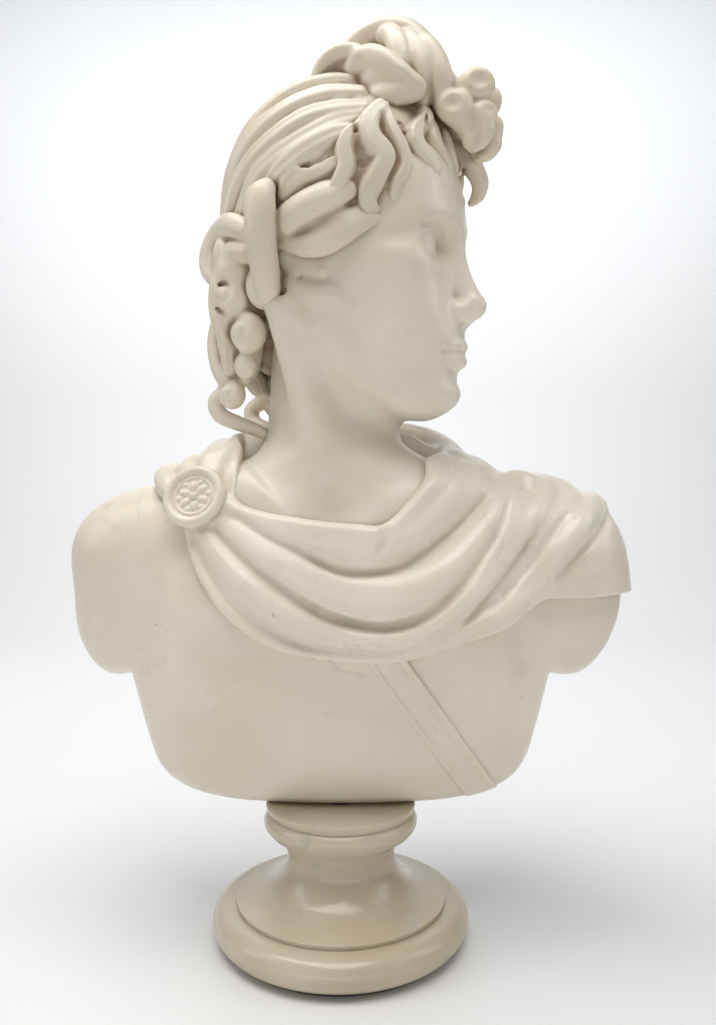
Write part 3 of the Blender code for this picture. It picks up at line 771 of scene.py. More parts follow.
class Comb:
    """Lays locks on one side of the head.

    Points are (u, w) on the flank, or (u, v, w) near the base, or free when lift is None.
    """

    def __init__(self, clay, base, side):
        self.clay, self.base, self.side = clay, base, side

    def place(self, point, lift):
        if len(point) == 2:
            return self.base.flank(point[0], point[1], self.side, lift)
        point = (point[0], self.side * point[1], point[2])
        return np.array(point) if lift is None else self.base.cling(point, lift)

    def out(self, point):
        away = self.base.slope(point)[0]
        return away if away.any() else np.array((-0.3, self.side, 0.2))

    def lock(self, points, widths, thicks=None, lift=None, strands=0, depth=0, blend=1, out=None, step=3):
        path = [self.place(point, lift) for point in points]
        self.clay.join(Lock(path, widths, thicks, out or self.out, strands, depth, step), blend)

    def mirrored(self, direction):
        """The unit direction, given for the head's right side."""
        return unit((direction[0], self.side * direction[1], direction[2]))

    def ball(self, centre, radii, blend, axes=None):
        self.clay.join(Ball(self.place(centre, None), radii, axes), blend)

    def groove(self, points, widths, blend):
        """A groove carved along free points."""
        self.clay.carve(Lock([self.place(point, None) for point in points], widths), blend)

    def drill(self, point, radius, depth):
        """A hole drilled straight in at a point of the base."""
        mouth = self.place(point, 8)
        into = -self.out(mouth)
        self.clay.carve(Lock([mouth, mouth + into * (depth + 8)], [radius, 0.8 * radius]), 1.2)

    def loop(self, centre, radius, out, start):
        """A curl like a folded ribbon: a round lobe with a dish to one side of its middle."""
        centre, out = self.place(centre, None), self.mirrored(out)
        first, second = facing(out)
        axes = np.array((first, second, out)).T
        self.clay.join(Ball(centre, (radius, 0.92 * radius, 0.75 * radius), axes), 2.2)
        off = first * cos(start) + second * sin(start)
        self.clay.carve(Ball(centre + out * 0.86 * radius + off * 0.22 * radius,
                             (0.46 * radius, 0.40 * radius, 0.40 * radius), axes), 0.45 * radius)

    def snail(self, centre, radius, out, turns, start):
        """A round curl: a flattened ball with a groove wound into it towards its middle."""
        centre, out = self.place(centre, None), self.mirrored(out)
        first, second = facing(out)
        self.clay.join(Ball(centre, (radius, radius, 0.82 * radius), np.array((first, second, out)).T), 2.2)
        groove = []
        for t in np.linspace(0, 1, int(9 * turns) + 2):
            angle = start + self.side * 2 * pi * turns * t
            reach = radius * (0.92 - 0.55 * t)
            height = 0.82 * radius * np.sqrt(max(1 - (reach / radius) ** 2, 0)) + 0.3
            groove.append(centre + (first * cos(angle) + second * sin(angle)) * reach + out * height)
        self.clay.carve(Lock(groove, [0.5, 1.1, 0.9], step=1.5), 3.4)


FRONT_WAVES = (  # path, half widths
    (((26.5, 44, 46), (21, 49, 39), (19, 50, 33), (20, 50, 26), (17.5, 50, 19.5), (13, 50, 14)),
     (3, 4, 4.2, 4.2, 4.2, 3.4)),
    (((32, 37, 56), (28, 43, 46), (30, 44.5, 37.5), (35.5, 41.5, 30.5), (33, 43, 22), (28.5, 44.5, 14.5),
      (28.5, 42.5, 8), (33.5, 38, 5.5)), (4.2, 5.4, 5.8, 6, 5.8, 5.4, 4.4, 2.2)),
    (((35, 38, 52), (37.5, 38.5, 44), (41, 37, 36), (43, 35.5, 27.5), (39.5, 37.5, 19.5), (38, 37, 12.5),
      (42, 32.5, 9.5)), (2.8, 3.4, 3.7, 3.7, 3.4, 2.8, 1.3)),
    (((41, 36, 24), (43, 34.2, 19), (45.5, 30.5, 17), (48.7, 26, 15.5)), (2.6, 3, 2.4, 1)),
    (((42, 14, 68), (47.5, 19, 56), (45, 30, 43), (48.5, 28.5, 35), (52.5, 23, 29.5), (51, 24.5, 22.5)),
     (3.6, 4.2, 4.4, 4.4, 4, 2)),
    (((47, 11, 64), (50.5, 16.5, 52), (53, 18, 43), (56.5, 12, 37), (57.5, 10, 30)),
     (3, 3.8, 3.8, 3.6, 1.8)),
    (((49, 5, 66), (54, 8, 54), (56.5, 8.5, 44), (59.5, 3, 37)), (3, 3.6, 3.6, 2)),
)
WAVE_VALLEYS = (
    ((33.5, 40, 50), (34.5, 41, 42), (38, 40, 35.5), (40, 38.5, 28.5), (36.8, 40, 21.5), (34.5, 40.5, 14)),
    ((25, 46, 48), (24, 49, 40), (24.6, 49, 32), (26.2, 48, 25), (22.8, 50, 17)),
    ((47, 19, 60), (48.5, 24, 48), (50, 25.5, 40), (53, 20, 34)),
    ((50, 11, 60), (53.5, 13, 50), (55.5, 12, 43), (58, 6, 37)),
)
WAVE_SLOTS = (  # path, radius
    (((26.2, 48, 33), (26.2, 48, 27.5)), 1.4),
    (((24, 50, 18), (23.8, 50, 11)), 1.5),
    (((23.5, 50, 44), (24, 50, 42.5)), 1.2),
    (((40.5, 33, 56), (41.5, 34, 50)), 1.6),
    (((42.5, 34.5, 46), (42.5, 34.5, 44)), 1.2),
)
FRONT_GROUND = [(4, 30), (11, 15), (20, 8), (30, 8.5), (39, 15), (46, 24), (52, 33), (57, 42), (58, 52),
                (54, 66), (46, 78), (30, 80), (18, 64), (10, 48)]


def sculpt_front_hair(base):
    """The waves that fall from the knot to the hairline, on both sides, over soft ground."""
    clay = Clay((-14, -66, -22), (84, 66, 90), 0.7)
    ground = clay.field_of(base) - 0.6
    clay.field = -smooth_min(-ground, -(clay.outline(FRONT_GROUND) + 0 * ground), 6).astype(np.float32)
    for side in (-1, 1):
        comb = Comb(clay, base, side)
        for number, (points, widths) in enumerate(FRONT_WAVES):
            broad = [1.10 * width for width in widths]
            thicks = [0.80 * width + 1 for width in widths]
            comb.lock(points, broad, thicks, lift=2.2 - 0.9 * (number % 2), strands=5, depth=0.6, blend=1.8)
        # drilled slots and holes between the waves
        for points, radius in WAVE_SLOTS:
            path = [comb.place(point, 3) for point in points] + [comb.place(points[-1], -2)]
            clay.carve(Lock(path, [radius]), 1.6)
        for valley in WAVE_VALLEYS:
            path = [comb.place(point, 4.2) for point in valley]
            clay.carve(Lock(path, [0.6, 1.3, 1.3, 0.6]), 2.2)
    far_curl = [(50, -8, 60), (58, -12, 52), (62.5, -15, 44), (65.5, -18, 37), (64, -20, 31), (60, -21, 28)]
    Comb(clay, base, 1).lock(far_curl, [4.4, 5.2, 5.4, 4.8, 3.8, 2], strands=3, depth=0.5,
                             out=(1, -0.3, 0.2), blend=2)
    return clay


BROAD_STRANDS = (
    (((16, 10, 83), (-2, 12, 84), (-22, 14, 80), (-42, 16, 64), (-56, 15, 44), (-62, 13, 22), (-62, 12, 4)),
     (5, 7.4, 8.4, 8.4, 8, 7, 5)),
    (((18, 22, 78), (2, 26, 76), (-16, 28, 70), (-34, 28, 57), (-48, 24, 41), (-57, 20, 22), (-58, 18, 4)),
     (5, 7.8, 9, 9, 8.4, 7, 5)),
    (((20, 33, 66), (4, 39, 66), (-13, 42, 61), (-29, 40, 53), (-43, 33, 42), (-54, 24, 26), (-58, 20, 8)),
     (4.4, 6.2, 7, 7, 6.6, 6, 4.4)),
    (((25, 40, 57), (12, 46.5, 55.5), (-1.5, 49.5, 52.5), (-14.5, 50, 46.5), (-28.5, 47, 39.5),
      (-42, 39.5, 31), (-52.5, 31, 18), (-56, 27, 2)), (3.4, 4.8, 5.4, 5.6, 5.6, 5.4, 5, 4)),
    (((25.5, 43, 51), (13, 49, 47.5), (0, 52.5, 41.5), (-14.5, 52.5, 35.5), (-29, 48, 28), (-40, 42, 17),
      (-46, 37, 4)), (3, 4.2, 4.8, 4.8, 4.8, 4.4, 3.4)),
    (((21, 48, 43), (14, 50.5, 40.5), (4, 53, 36), (-8, 53.5, 30), (-20, 51.5, 23)),
     (2.6, 4.2, 4.6, 4.4, 3.2)),
    (((17, 51.5, 28.5), (6, 53, 25.8), (-4, 53.5, 22.8), (-13, 52, 16.5)), (3.6, 4.8, 5.2, 4.6)),
)


def sculpt_side_hair(base):
    """The rolled locks over the ears: two along the temple and one that curls over their roots."""
    clay = Clay((-84, -74, -52), (48, 74, 90), 0.7)
    for side in (-1, 1):
        comb = Comb(clay, base, side)
        leaf = [(-14.5, 46, -4), (-2, 48, -7.8), (8, 48, -7.5), (17.5, 46, -3.5), (26.5, 43, 1),
                (35, 39, 3.5)]
        comb.lock(leaf, [3.6, 5.2, 6, 5.4, 3.8, 1.4], [3.4, 4.2, 4.4, 4, 2.8, 1.2], out=(0.1, side, -0.1),
                  blend=4)
        under = [(-8, 3), (4, 1), (16, 3), (28, 8)]
        comb.lock(under, [5, 7, 7, 3.6], lift=-0.6, blend=4)
        rope = [(-16.5, 47.5, 2), (-8, 50.5, 6), (1, 51.5, 9.6), (10, 50.5, 13), (19, 46.5, 17)]
        comb.lock(rope, [7.4, 8, 8, 7.8, 6.4], [5.2, 5.6, 5.6, 5.2, 4.4], out=(0, side, 0.25), blend=3)
        finger = [(-21.5, 51, 19), (-21.2, 55.6, 17), (-20.6, 57.5, 10), (-20.8, 57, 1),
                  (-21.2, 54.5, -8.5), (-22.2, 49, -18), (-24.5, 41, -26.5)]
        comb.ball((-28, 37, -20), (11, 8, 12.5), 3)
        comb.lock(finger, [6.6, 8, 8.3, 8.3, 8.1, 7.8, 6.4], [5, 5.6, 5.8, 5.8, 5.6, 5.2],
                  out=(-0.15, side, 0), blend=2)
    clay.field = box_blur(clay.field, 1)
    return clay


def sculpt_hanging(side):
    """The curls that hang behind the neck on one side, with the tail that runs back to the neck."""
    clay = Clay((-90, min(0, side * 60), -108), (-16, max(0, side * 60), 30), 0.6)
    comb = Comb(clay, clay, side)
    comb.lock([(-46, 30, -10), (-50, 24.5, -34), (-53.5, 17, -56)], [14.5, 14, 9], out=(0, 0, 1), blend=2)
    comb.ball((-55, 31, -2), (10.5, 5.5, 10.5), 2)
    comb.lock([(-47, 38, -8), (-54.5, 37.5, -18), (-56, 35.5, -31), (-53, 33, -45), (-55.5, 27, -58)],
              [4, 5.2, 5.2, 4.8, 3.6], strands=5, depth=0.8, out=(-0.5, side, 0), blend=1.6)

    def free(points, widths, thicks=None, strands=2):
        comb.lock(points, widths, thicks, None, strands, 0.4, out=(-0.5, side, 0), step=2, blend=2)

    free([(-34, 45, 4), (-46, 41, 10), (-57, 34, 9.2), (-64.5, 30, 2.2), (-65.2, 29, -5.8),
          (-59.5, 30, -11.8), (-51.5, 32, -11.2)], [5.4, 6.4, 6.6, 6.2, 5.8, 5.2, 4], [5, 5.6], 0)
    free([(-34, 44, -6), (-44, 40, -3), (-51, 36, -3)], [5, 5.6, 5.6], strands=0)
    comb.ball((-52, 37.5, -2), (5.2, 6, 8.2), 1.4)
    comb.snail((-48, 35.2, -24.5), 9.8, (-0.40, 1, 0.1), turns=1.2, start=0.6)
    comb.snail((-40, 34, -42), 10.2, (-0.35, 1, -0.1), turns=0.8, start=2.4)
    free([(-56, 20, -22), (-64, 18, -28), (-68, 17, -41), (-65.5, 18, -54), (-59, 20, -63), (-50, 21, -62)],
         [4.6, 5.8, 6.2, 6.2, 5.6, 4.2])
    comb.groove([(-62, 24, -32), (-64, 24, -42), (-62.5, 24, -52)], [0.8, 1.3, 0.8], 2.2)
    free([(-52, 26, -30), (-57, 25, -41), (-54.5, 25, -52), (-47, 25, -57)], [4, 4.8, 4.8, 3.8])
    comb.snail((-43, 32, -58), 6.6, (-0.35, 1, 0), turns=0.5, start=1.0)
    comb.snail((-54.5, 25, -71), 7.6, (-0.35, 1, 0), turns=0.6, start=3.6)
    free([(-61, 20, -68), (-68, 19, -73), (-66, 18, -80), (-57, 15, -84.5), (-47, 12, -88.5),
          (-40, 8, -93)], [4, 4.6, 4.6, 4.2, 3.6, 2.8], strands=3)
    clay.field = box_blur(clay.field, 1)
    return clay


def sculpt_nape():
    """Long waves over the back of the head's base, between the hanging curls."""
    clay = Clay((-92, -48, -90), (-24, 48, 34), 0.7)
    clay.join(Ball((-44, 0, -22), (18, 22, 36)))
    for number in range(5):
        v = -14 + 7 * number
        bend = 2.2 * (1 if number % 2 else -1)
        wave = [(-54, 0.9 * v, 20), (-61, v + bend, 6), (-62.5, v - bend, -10), (-61, v + bend, -26),
                (-59, v - bend, -42), (-56, v + bend, -56), (-49, 0.8 * v, -68)]
        clay.join(Lock(wave, [4.2, 5.6, 5.6, 5.6, 5.2, 4.2, 2.4], [3.6, 4.6, 4.6, 4.6, 4.2, 3.6, 2.2],
                       out=(-1, 0, 0), strands=5, depth=0.6), 0.8)
    return clay


def sculpt_bow():
    """The bow of hair tied above the forehead: a back loop, side shells, lumps, bands and front curls."""
    clay = Clay((-22, -50, 34), (96, 50, 130), 0.7)
    clay.join(Ball((26, 0, 78), (32, 18, 24)))
    dome = [(-2, 0, 88), (1, 0, 99), (10, 0, 107), (23, 0, 110), (36, 0, 106), (45, 0, 96), (49, 0, 84)]
    clay.join(Lock(dome, [10, 12.5, 14, 14.5, 14.5, 13.5, 11], [6, 7, 7.6, 7.6, 7, 6, 5],
                   out=lambda p: (p[0] - 24, 0, p[2] - 82), strands=3, depth=0.4), 2)
    clay.join(Ball((22, 0, 88), (26, 12, 18)), 4)
    for side in (-1, 1):
        comb = Comb(clay, clay, side)
        sideways = (0, side, 0.2)
        # the hollow shell of the side loop, like an ear
        comb.ball((7, 18, 78), (13, 11, 14), 3)
        shell = [(20, 20, 64), (7, 23, 64), (-3, 24, 71), (-4.5, 25, 82), (3, 25, 90.5), (14, 25, 90.5),
                 (20, 26, 83)]
        comb.lock(shell, [4, 4.2, 4, 3.8, 4, 4.4, 3.6], [5, 6, 6.6, 6.6, 6, 5], out=sideways, blend=3)
        clay.carve(Ball((5.5, side * 32, 76.5), (6.4, 8.5, 7.2)), 5)
        clay.carve(Ball((5, side * 27, 72), (2.6, 9, 2.8)), 3)
        # the pillow of the loop's front half, with its folds
        comb.ball((29, 20, 74.5), (16.5, 12, 11.5), 3, turned_about_y(radians(24)))
        comb.lock([(15, 26, 83.5), (22.5, 29, 85.5), (31, 30, 80.5), (38.5, 29, 73), (45.5, 26, 68)],
                  [4.4, 5.4, 6, 5.8, 4.4], out=sideways, blend=4)
        comb.lock([(18, 24, 66.5), (27, 27.5, 65), (36, 27.5, 65), (44, 25, 66.5)], [4.4, 5.4, 5.4, 4.4],
                  out=sideways, blend=4)
        comb.groove([(18, 33, 83), (20.5, 35, 75.5), (22, 34, 66)], [1, 1.6, 1], 3)
        comb.groove([(26, 37, 75), (34, 36.5, 70), (41, 34, 69)], [0.6, 1.2, 0.6], 5)
        # bands that come round from the back loop to the front of the knot
        for number in range(3):
            shift = 8.5 * number
            band = [(20 + shift, 6, 108 - 0.35 * shift), (29 + shift, 15, 102 - 0.5 * shift),
                    (35 + shift, 21.5 - 0.30 * shift, 92 - 0.5 * shift),
                    (38 + shift, 23 - 0.40 * shift, 80 - 0.4 * shift),
                    (37 + shift, 20 - 0.40 * shift, 68 - 0.3 * shift)]
            comb.lock(band, [4.4, 5.6, 6, 5.6, 4.2], [4.4, 5, 5, 4.4], out=(0.5, side, 0.2), blend=1.2)
        # small curls at the front
        comb.ball((60, 6, 66), (13, 10, 12), 3)
        comb.loop((70, 9, 72.2), 9, (0.35, 1, 0.1), start=0.4)
        comb.loop((61, 15, 60.5), 8.8, (0.30, 1, 0.1), start=2.4)
        comb.loop((73.5, 8, 58.5), 6.6, (0.5, 1, 0), start=0.5)
        comb.lock([(72, 8, 57), (74, 8, 50.5), (71.5, 7, 45.5), (67, 6, 43)], [5.2, 4.8, 3.4, 1.4],
                  out=sideways, blend=3)
        comb.lock([(63, 12, 56), (66, 10, 50), (65, 8, 45)], [5.6, 4.4, 1.8], out=sideways, blend=3)
    return clay


# ================================================================ the socle
FOOT_RADIUS = 0.0665
FOOT_ROUND = 0.0082             # radius of the rounded foot in section
BORE_RADIUS = 0.0038
BEARING_SEAT = (0.0083, 0.0020)     # radius and depth of the washer's seat in the top
NUT_POCKET = (0.0130, 0.0160)       # radius and depth of the pocket in the underside


def socle_profile():
    """The turned section as runs of (radius, height), from the washer's seat round to the seat again."""
    top, low = PLATE_TOP, SOCLE_LOW[2]
    seat, seat_depth = BEARING_SEAT
    pocket, pocket_depth = NUT_POCKET
    foot = [(FOOT_RADIUS - FOOT_ROUND + FOOT_ROUND * cos(a), low + FOOT_ROUND + FOOT_ROUND * sin(a))
            for a in np.radians(np.linspace(78, -80, 24))]
    return [
        [(seat, top), (0.0384, top)],
        [(0.0384, top), (0.0390, top - 0.0004), (0.0391, top - 0.0012), (0.0386, top - 0.0030)],
        [(0.0374, top - 0.0046), (0.0392, 0.0622), (0.0402, 0.0598), (0.0396, 0.0570), (0.0374, 0.0542)],
        [(0.0366, 0.0536), (0.0330, 0.0510), (0.0300, 0.0478), (0.0282, 0.0430), (0.0288, 0.0372),
         (0.0318, 0.0312), (0.0370, 0.0262), (0.0440, 0.0229), (0.0512, 0.0210), (0.0540, 0.0206)],
        [(0.0540, 0.0206), (0.0545, 0.0203), (0.0546, 0.0196), (0.0541, 0.0180)],
        foot,
        [(0.0590, low), (pocket, low)],
        [(pocket, low), (pocket, low + pocket_depth)],
        [(pocket, low + pocket_depth), (BORE_RADIUS, low + pocket_depth)],
        [(BORE_RADIUS, low + pocket_depth), (BORE_RADIUS, top - seat_depth)],
        [(BORE_RADIUS, top - seat_depth), (seat, top - seat_depth)],
        [(seat, top - seat_depth), (seat, top)],
    ]


def turn_socle(count=200):
    """The socle turned as one closed skin, with the slightly wavering surface of hand-finished stone."""
    section = []
    for run in socle_profile():
        for radius, height, _ in smooth_path([(r, h, 0) for r, h in run], 0.0012)[0]:
            if not section or np.hypot(radius - section[-1][0], height - section[-1][1]) > 1e-5:
                section.append((radius, height))
    section = np.array(section[:-1])
    angles = 2 * pi * np.arange(count) / count
    radius, angle = np.meshgrid(section[:, 0], angles)
    height = np.broadcast_to(section[:, 1], radius.shape)
    waver = 0.00012 * np.sin(3 * angle + 60 * height) + 0.00008 * np.sin(5 * angle - 130 * height)
    radius = radius + waver * (radius > 0.027)
    points = np.stack([radius * np.cos(angle), radius * np.sin(angle), height], -1).reshape(-1, 3)
    rows = len(section)
    i, j = np.meshgrid(np.arange(count), np.arange(rows), indexing="ij")
    after, below = (i + 1) % count, (j + 1) % rows
    quads = np.stack([i * rows + j, i * rows + below, after * rows + below, after * rows + j],
                     -1).reshape(-1, 4)
    made = bpy.data.meshes.new("socle_turned")
    made.from_pydata(points.tolist(), [], quads.tolist())
    made.shade_smooth()
    made.set_sharp_from_angle(angle=radians(35))
    return made


# ================================================================ meshes and objects
SHADE_CELL = 2
SHADE_MARGIN = 12
shade_low = np.array(BUST_LOW) / MM - SHADE_MARGIN
shade_counts = np.ceil((np.array(BUST_HIGH) / MM + SHADE_MARGIN - shade_low) / SHADE_CELL).astype(int) + 1
solid = np.zeros(shade_counts, np.float32)


def fill_shade(clay, to_local=None):
    """Adds the clay to the coarse block that hollows are read from."""
    axes = [shade_low[i] + SHADE_CELL * np.arange(shade_counts[i]) for i in range(3)]
    points = np.stack(np.meshgrid(*axes, indexing="ij"), -1)
    if to_local is not None:
        points = to_local(points)
    index = np.round((points - clay.low) / clay.cell).astype(int)
    top = np.array(clay.field.shape) - 1
    valid = np.all((index >= 0) & (index <= top), axis=-1)
    index = np.clip(index, 0, top)
    values = clay.field[index[..., 0], index[..., 1], index[..., 2]]
    inside = np.clip(0.5 - values / SHADE_CELL, 0, 1) * valid
    np.maximum(solid, inside, out=solid)


def write_hollows(piece, blurred):
    """Stores how deep in a hollow each point lies, for the patina and painted shade: 0.5 is flat, 1 is deep.
    """
    points = np.empty(len(piece.data.vertices) * 3, np.float32)
    piece.data.vertices.foreach_get("co", points)
    place = (points.reshape(-1, 3) / MM - shade_low) / SHADE_CELL
    attribute = piece.data.attributes.new("hollow", "FLOAT", "POINT")
    attribute.data.foreach_set("value", trilinear(blurred, place).astype(np.float32))


def add_piece(name, mesh, finish, body="bust"):
    made = bpy.data.objects.new(name, mesh)
    bpy.context.scene.collection.objects.link(made)
    mesh.materials.append(finish)
    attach(made, body)
    return made


# ================================================================ materials
class Nodes:
    """A short way to lay out a material's nodes."""

    def __init__(self, name):
        self.material = bpy.data.materials.new(name)
        self.material.use_nodes = True
        self.tree = self.material.node_tree
        self.shader = self.tree.nodes["Principled BSDF"]

    def add(self, kind, **settings):
        node = self.tree.nodes.new(kind)
        for key, value in settings.items():
            setattr(node, key, value)
        return node

    def link(self, source, target):
        self.tree.links.new(source, target)

    def noise(self, scale, detail=4.0, rough=0.55, warp=0.0, offset=(0, 0, 0)):
        move = self.add("ShaderNodeVectorMath", operation="ADD")
        self.link(self.object_place(), move.inputs[0])
        move.inputs[1].default_value = offset
        node = self.add("ShaderNodeTexNoise")
        node.inputs["Scale"].default_value = scale
        node.inputs["Detail"].default_value = detail
        node.inputs["Roughness"].default_value = rough
        node.inputs["Distortion"].default_value = warp
        self.link(move.outputs[0], node.inputs["Vector"])
        return node.outputs["Fac"]

    def object_place(self):
        return self.add("ShaderNodeTexCoord").outputs["Object"]

    def ramp(self, value, low, high, a=0.0, b=1.0):
        node = self.add("ShaderNodeMapRange", interpolation_type="SMOOTHSTEP")
        self.link(value, node.inputs["Value"])
        node.inputs["From Min"].default_value = low
        node.inputs["From Max"].default_value = high
        node.inputs["To Min"].default_value = a
        node.inputs["To Max"].default_value = b
        return node.outputs["Result"]

    def mix(self, amount, a, b, blend="MIX"):
        node = self.add("ShaderNodeMix", data_type="RGBA", blend_type=blend)
        self.put(amount, node.inputs["Factor"])
        self.put(a, node.inputs["A"])
        self.put(b, node.inputs["B"])
        return node.outputs["Result"]

    def math(self, operation, a, b):
        node = self.add("ShaderNodeMath", operation=operation)
        self.put(a, node.inputs[0])
        self.put(b, node.inputs[1])
        return node.outputs[0]

    def put(self, value, target):
        if isinstance(value, bpy.types.NodeSocket):
            self.link(value, target)
        elif isinstance(value, tuple):
            target.default_value = (*value, 1)
        else:
            target.default_value = value

    def attribute(self, name):
        return self.add("ShaderNodeAttribute", attribute_name=name).outputs["Fac"]

    def bump(self, height, distance, strength=1.0, normal=None):
        node = self.add("ShaderNodeBump")
        node.inputs["Strength"].default_value = strength
        node.inputs["Distance"].default_value = distance
        self.link(height, node.inputs["Height"])
        if normal is not None:
            self.link(normal, node.inputs["Normal"])
        return node.outputs["Normal"]


def marble(name, light, warm, cool, patina_and_shade, gloss, patina_and_shade_reach=(0.56, 0.80), patina_and_shade_amount=0.8, veins=0.3,
           glow=0.25):
    """Old statuary marble: mottled ivory, faint grey clouds and veins, and a darker colour in its hollows
    that is partly patina and partly painted shade.
    """
    n = Nodes(name)
    colour = n.mix(n.ramp(n.noise(14, 3), 0.35, 0.68), light, warm)
    colour = n.mix(n.ramp(n.noise(9, 4, offset=(3, 1, 2)), 0.52, 0.75, 0, 0.55), colour, cool)
    cloud = n.ramp(n.noise(22, 6, 0.62, 1.2, (5, 4, 9)), 0.66, 0.80, 0, 0.5 * veins)
    colour = n.mix(cloud, colour, (0.42, 0.42, 0.41))
    line = n.math("ABSOLUTE", n.math("SUBTRACT", n.noise(7, 5, 0.6, 0.8, (1, 8, 3)), 0.5), 0.0)
    vein = n.math("MULTIPLY", n.ramp(line, 0.0, 0.010, 1, 0),
                  n.ramp(n.noise(11, 2, offset=(7, 7, 1)), 0.52, 0.66))
    colour = n.mix(n.math("MULTIPLY", vein, veins), colour, (0.40, 0.40, 0.40))
    speck = n.ramp(n.noise(160, 2, 0.5, 0, (2, 2, 2)), 0.76, 0.80, 0, 0.7)
    colour = n.mix(speck, colour, (0.42, 0.30, 0.20))
    # Painted shade: the darker colour is mixed in by how deep each point lies in a hollow, so it is partly
    # the stone's patina and partly painted shade in the crevices.
    hollow = n.ramp(n.attribute("hollow"), *patina_and_shade_reach, 0, patina_and_shade_amount)
    hollow = n.math("MULTIPLY", hollow, n.ramp(n.noise(60, 4), 0.25, 0.65, 0.55, 1.0))
    colour = n.mix(hollow, colour, patina_and_shade)
    n.link(colour, n.shader.inputs["Base Color"])
    rough = n.math("ADD", n.ramp(n.noise(35, 5), 0.3, 0.7, gloss - 0.05, gloss + 0.07),
                   n.math("MULTIPLY", hollow, 0.25))
    n.link(rough, n.shader.inputs["Roughness"])
    grain = n.bump(n.noise(900, 3), 0.00006)
    dents = n.bump(n.noise(70, 4), 0.0005, 0.5, grain)
    n.link(dents, n.shader.inputs["Normal"])
    n.shader.inputs["Subsurface Weight"].default_value = glow
    n.shader.inputs["Subsurface Radius"].default_value = (1.0, 0.75, 0.5)
    n.shader.inputs["Subsurface Scale"].default_value = 0.003
    n.shader.inputs["IOR"].default_value = 1.5
    return n.material


def metal(name, light, dark, rough, grain_scale):
    """Steel or lead that has dulled: two tones, a fine grain and scattered darker spots."""
    n = Nodes(name)
    colour = n.mix(n.ramp(n.noise(grain_scale, 5, 0.7), 0.35, 0.7), light, dark)
    colour = n.mix(n.ramp(n.noise(3 * grain_scale, 3, 0.5, 0.5, (4, 1, 6)), 0.62, 0.72, 0, 0.6), colour,
                   (0.10, 0.08, 0.06))
    n.link(colour, n.shader.inputs["Base Color"])
    n.shader.inputs["Metallic"].default_value = 1.0
    n.link(n.ramp(n.noise(2 * grain_scale, 4), 0.3, 0.7, rough - 0.08, rough + 0.12),
           n.shader.inputs["Roughness"])
    n.link(n.bump(n.noise(6 * grain_scale, 4), 0.00005), n.shader.inputs["Normal"])
    return n.material


# The felt under the socle's foot: its near-black colour is the felt's own and also painted shade, standing
# for the dark line of shadow where the socle meets the floor.
def felt_and_painted_shade():
    n = Nodes("dark_felt")
    n.link(n.mix(n.noise(900, 6, 0.7, 2.0), (0.018, 0.022, 0.018), (0.075, 0.085, 0.072)),
           n.shader.inputs["Base Color"])
    n.shader.inputs["Roughness"].default_value = 0.95
    n.shader.inputs["Sheen Weight"].default_value = 0.4
    n.link(n.bump(n.noise(1400, 6, 0.7, 1.5), 0.0003), n.shader.inputs["Normal"])
    return n.material


# ================================================================ stage, lights, camera
def build_stage():
    """A seamless pale sweep: floor, a wide curve and a wall."""
    mesh = bpy.data.meshes.new("sweep")
    bm = bmesh.new()
    profile = [(-3.0, 0)] + [(0.9 + 0.5 * sin(a), 0.5 - 0.5 * cos(a)) for a in np.linspace(0, pi / 2, 16)]
    profile += [(1.4, 3.0)]
    rows = [[bm.verts.new((x, y, z)) for y, z in profile] for x in (-3, 3)]
    for number in range(len(profile) - 1):
        bm.faces.new((rows[0][number], rows[1][number], rows[1][number + 1], rows[0][number + 1]))
    bm.to_mesh(mesh)
    bm.free()
    mesh.shade_smooth()
    n = Nodes("sweep")
    n.shader.inputs["Base Color"].default_value = (0.83, 0.835, 0.845, 1)
    n.shader.inputs["Roughness"].default_value = 0.55
    sweep = bpy.data.objects.new("sweep", mesh)
    mesh.materials.append(n.material)
    bpy.context.scene.collection.objects.link(sweep)


def add_light(name, place, target, size, power, colour=(1, 1, 1)):
    data = bpy.data.lights.new(name, "AREA")
    data.shape = "RECTANGLE"
    data.size, data.size_y = size
    data.energy = power
    data.color = colour
    light = bpy.data.objects.new(name, data)
    light.location = place
    light.rotation_euler = (Vector(target) - Vector(place)).to_track_quat("-Z", "Y").to_euler()
    bpy.context.scene.collection.objects.link(light)


def build_lights():
    """A big soft light overhead, one at each side, one on the wall, and a dim room all round."""
    target = (0, 0, 0.24)
    add_light("overhead", (-0.14, -0.20, 1.30), (0, -0.05, 0.24), (1.3, 0.8), 14.6, (1, 0.985, 0.96))
    add_light("side_left", (-1.10, -0.15, 0.80), target, (0.5, 0.9), 2.6, (1, 0.99, 0.97))
    add_light("side_right", (1.10, -0.05, 0.80), target, (0.5, 0.9), 2.4, (1, 0.99, 0.97))
    add_light("low_front", (0, -0.95, 0.03), (0, 0, 0.13), (1.6, 0.3), 3.2, (1, 0.97, 0.93))
    add_light("wall_light", (0, 0.55, 1.3), (0, 1.4, 0.9), (2.4, 0.6), 14, (0.96, 0.98, 1.0))
    world = bpy.data.worlds.new("studio")
    bpy.context.scene.world = world
    world.use_nodes = True
    world.node_tree.nodes["Background"].inputs["Color"].default_value = (0.93, 0.96, 1.0, 1)
    world.node_tree.nodes["Background"].inputs["Strength"].default_value = 0.13


def build_camera():
    data = bpy.data.cameras.new("camera")
    data.sensor_fit = "VERTICAL"
    data.sensor_height = 24
    data.lens = 18.73
    data.clip_start = 0.01
    camera = bpy.data.objects.new("camera", data)
    camera.location = (0.009, -0.4226, 0.2201)
    camera.rotation_euler = (pi / 2, 0, 0)
    bpy.context.scene.collection.objects.link(camera)
    bpy.context.scene.camera = camera
    bpy.context.scene.view_settings.view_transform = "Standard"


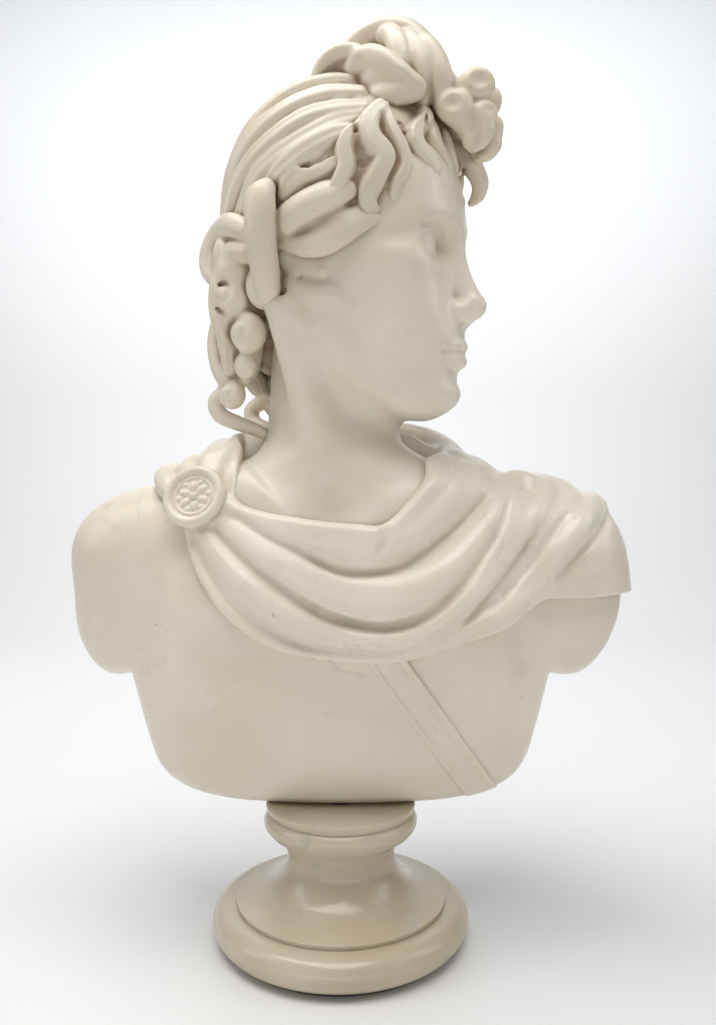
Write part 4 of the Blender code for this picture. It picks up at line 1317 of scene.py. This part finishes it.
# ================================================================ making everything
def main():
    build_camera()
    build_stage()
    build_lights()

    carved = marble("carved_marble", (0.80, 0.745, 0.64), (0.74, 0.675, 0.55), (0.69, 0.66, 0.58),
                    (0.38, 0.28, 0.18), 0.32, veins=0.25, glow=0.15)
    # The hair's colour in the hollows is darker and stronger, and starts on shallower hollows, than on the
    # carved marble: partly patina, partly painted shade between the locks.
    hair_stone = marble("hair_marble", (0.80, 0.73, 0.61), (0.72, 0.635, 0.50), (0.68, 0.63, 0.54),
                        (0.29, 0.195, 0.115), 0.36, patina_and_shade_reach=(0.52, 0.71), patina_and_shade_amount=1.0, veins=0.1,
                        glow=0.15)
    # The cloak's marble is the carved marble made lighter, with a lighter colour in its hollows: painted
    # light on the cloak, whose folds face up into the overhead light. The brooch shares it.
    cloak_stone_painted_light = marble("cloak_marble_painted_light", (0.83, 0.78, 0.68), (0.77, 0.70, 0.58), (0.72, 0.69, 0.61),
                         (0.42, 0.32, 0.21), 0.28, veins=0.22, glow=0.15)
    polished = marble("polished_marble", (0.59, 0.52, 0.40), (0.52, 0.44, 0.315), (0.49, 0.44, 0.36),
                      (0.32, 0.23, 0.15), 0.14, veins=0.9, glow=0.1)

    torso, flesh = sculpt_torso()
    cloak = sculpt_cloak(flesh)
    face = sculpt_head()
    base = hair_base()
    parts = [
        ("torso", torso, carved, None),
        ("cloak", cloak, cloak_stone_painted_light, None),
        ("strap", sculpt_strap(flesh), carved, None),
        ("brooch", sculpt_brooch(), cloak_stone_painted_light, brooch_place),
        ("head", face, carved, to_world),
        ("hair_crown", sculpt_cap(base), hair_stone, to_world),
        ("hair_waves", sculpt_front_hair(base), hair_stone, to_world),
        ("hair_sides", sculpt_side_hair(base), hair_stone, to_world),
        ("hair_hanging_right", sculpt_hanging(1), hair_stone, to_world),
        ("hair_hanging_left", sculpt_hanging(-1), hair_stone, to_world),
        ("hair_nape", sculpt_nape(), hair_stone, to_world),
        ("hair_bow", sculpt_bow(), hair_stone, to_world),
    ]

    for name, clay, finish, place in parts:
        if place is None:
            fill_shade(clay)
        elif place is to_world:
            fill_shade(clay, lambda points: (points - HEAD_CENTRE) @ HEAD_AXES.T)
    blurred = box_blur(box_blur(solid, 2), 1)
    for name, clay, finish, place in parts:
        piece = add_piece(name, clay.mesh(name, place), finish)
        write_hollows(piece, blurred)
        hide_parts("bust")

    socle = add_piece("socle_turned", turn_socle(), polished, "socle")
    write_hollows(socle, blurred)
    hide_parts("socle")

    lead = metal("dull_lead", (0.30, 0.31, 0.33), (0.20, 0.21, 0.22), 0.55, 250)
    steel = metal("plain_steel", (0.56, 0.55, 0.53), (0.40, 0.39, 0.37), 0.32, 400)
    # The felt pad's near-black felt is also painted shade under the socle's foot.
    finishes = {"felt_pad": felt_and_painted_shade(), "bearing_washer": lead, "setting_plug": lead, "centre_rod": steel,
                "clamp_washer": steel, "spring_washer": steel, "clamp_nut": steel}
    for node, finish in finishes.items():
        for slot in bpy.data.objects[node].material_slots:
            slot.link = "OBJECT"
            slot.material = finish


main()
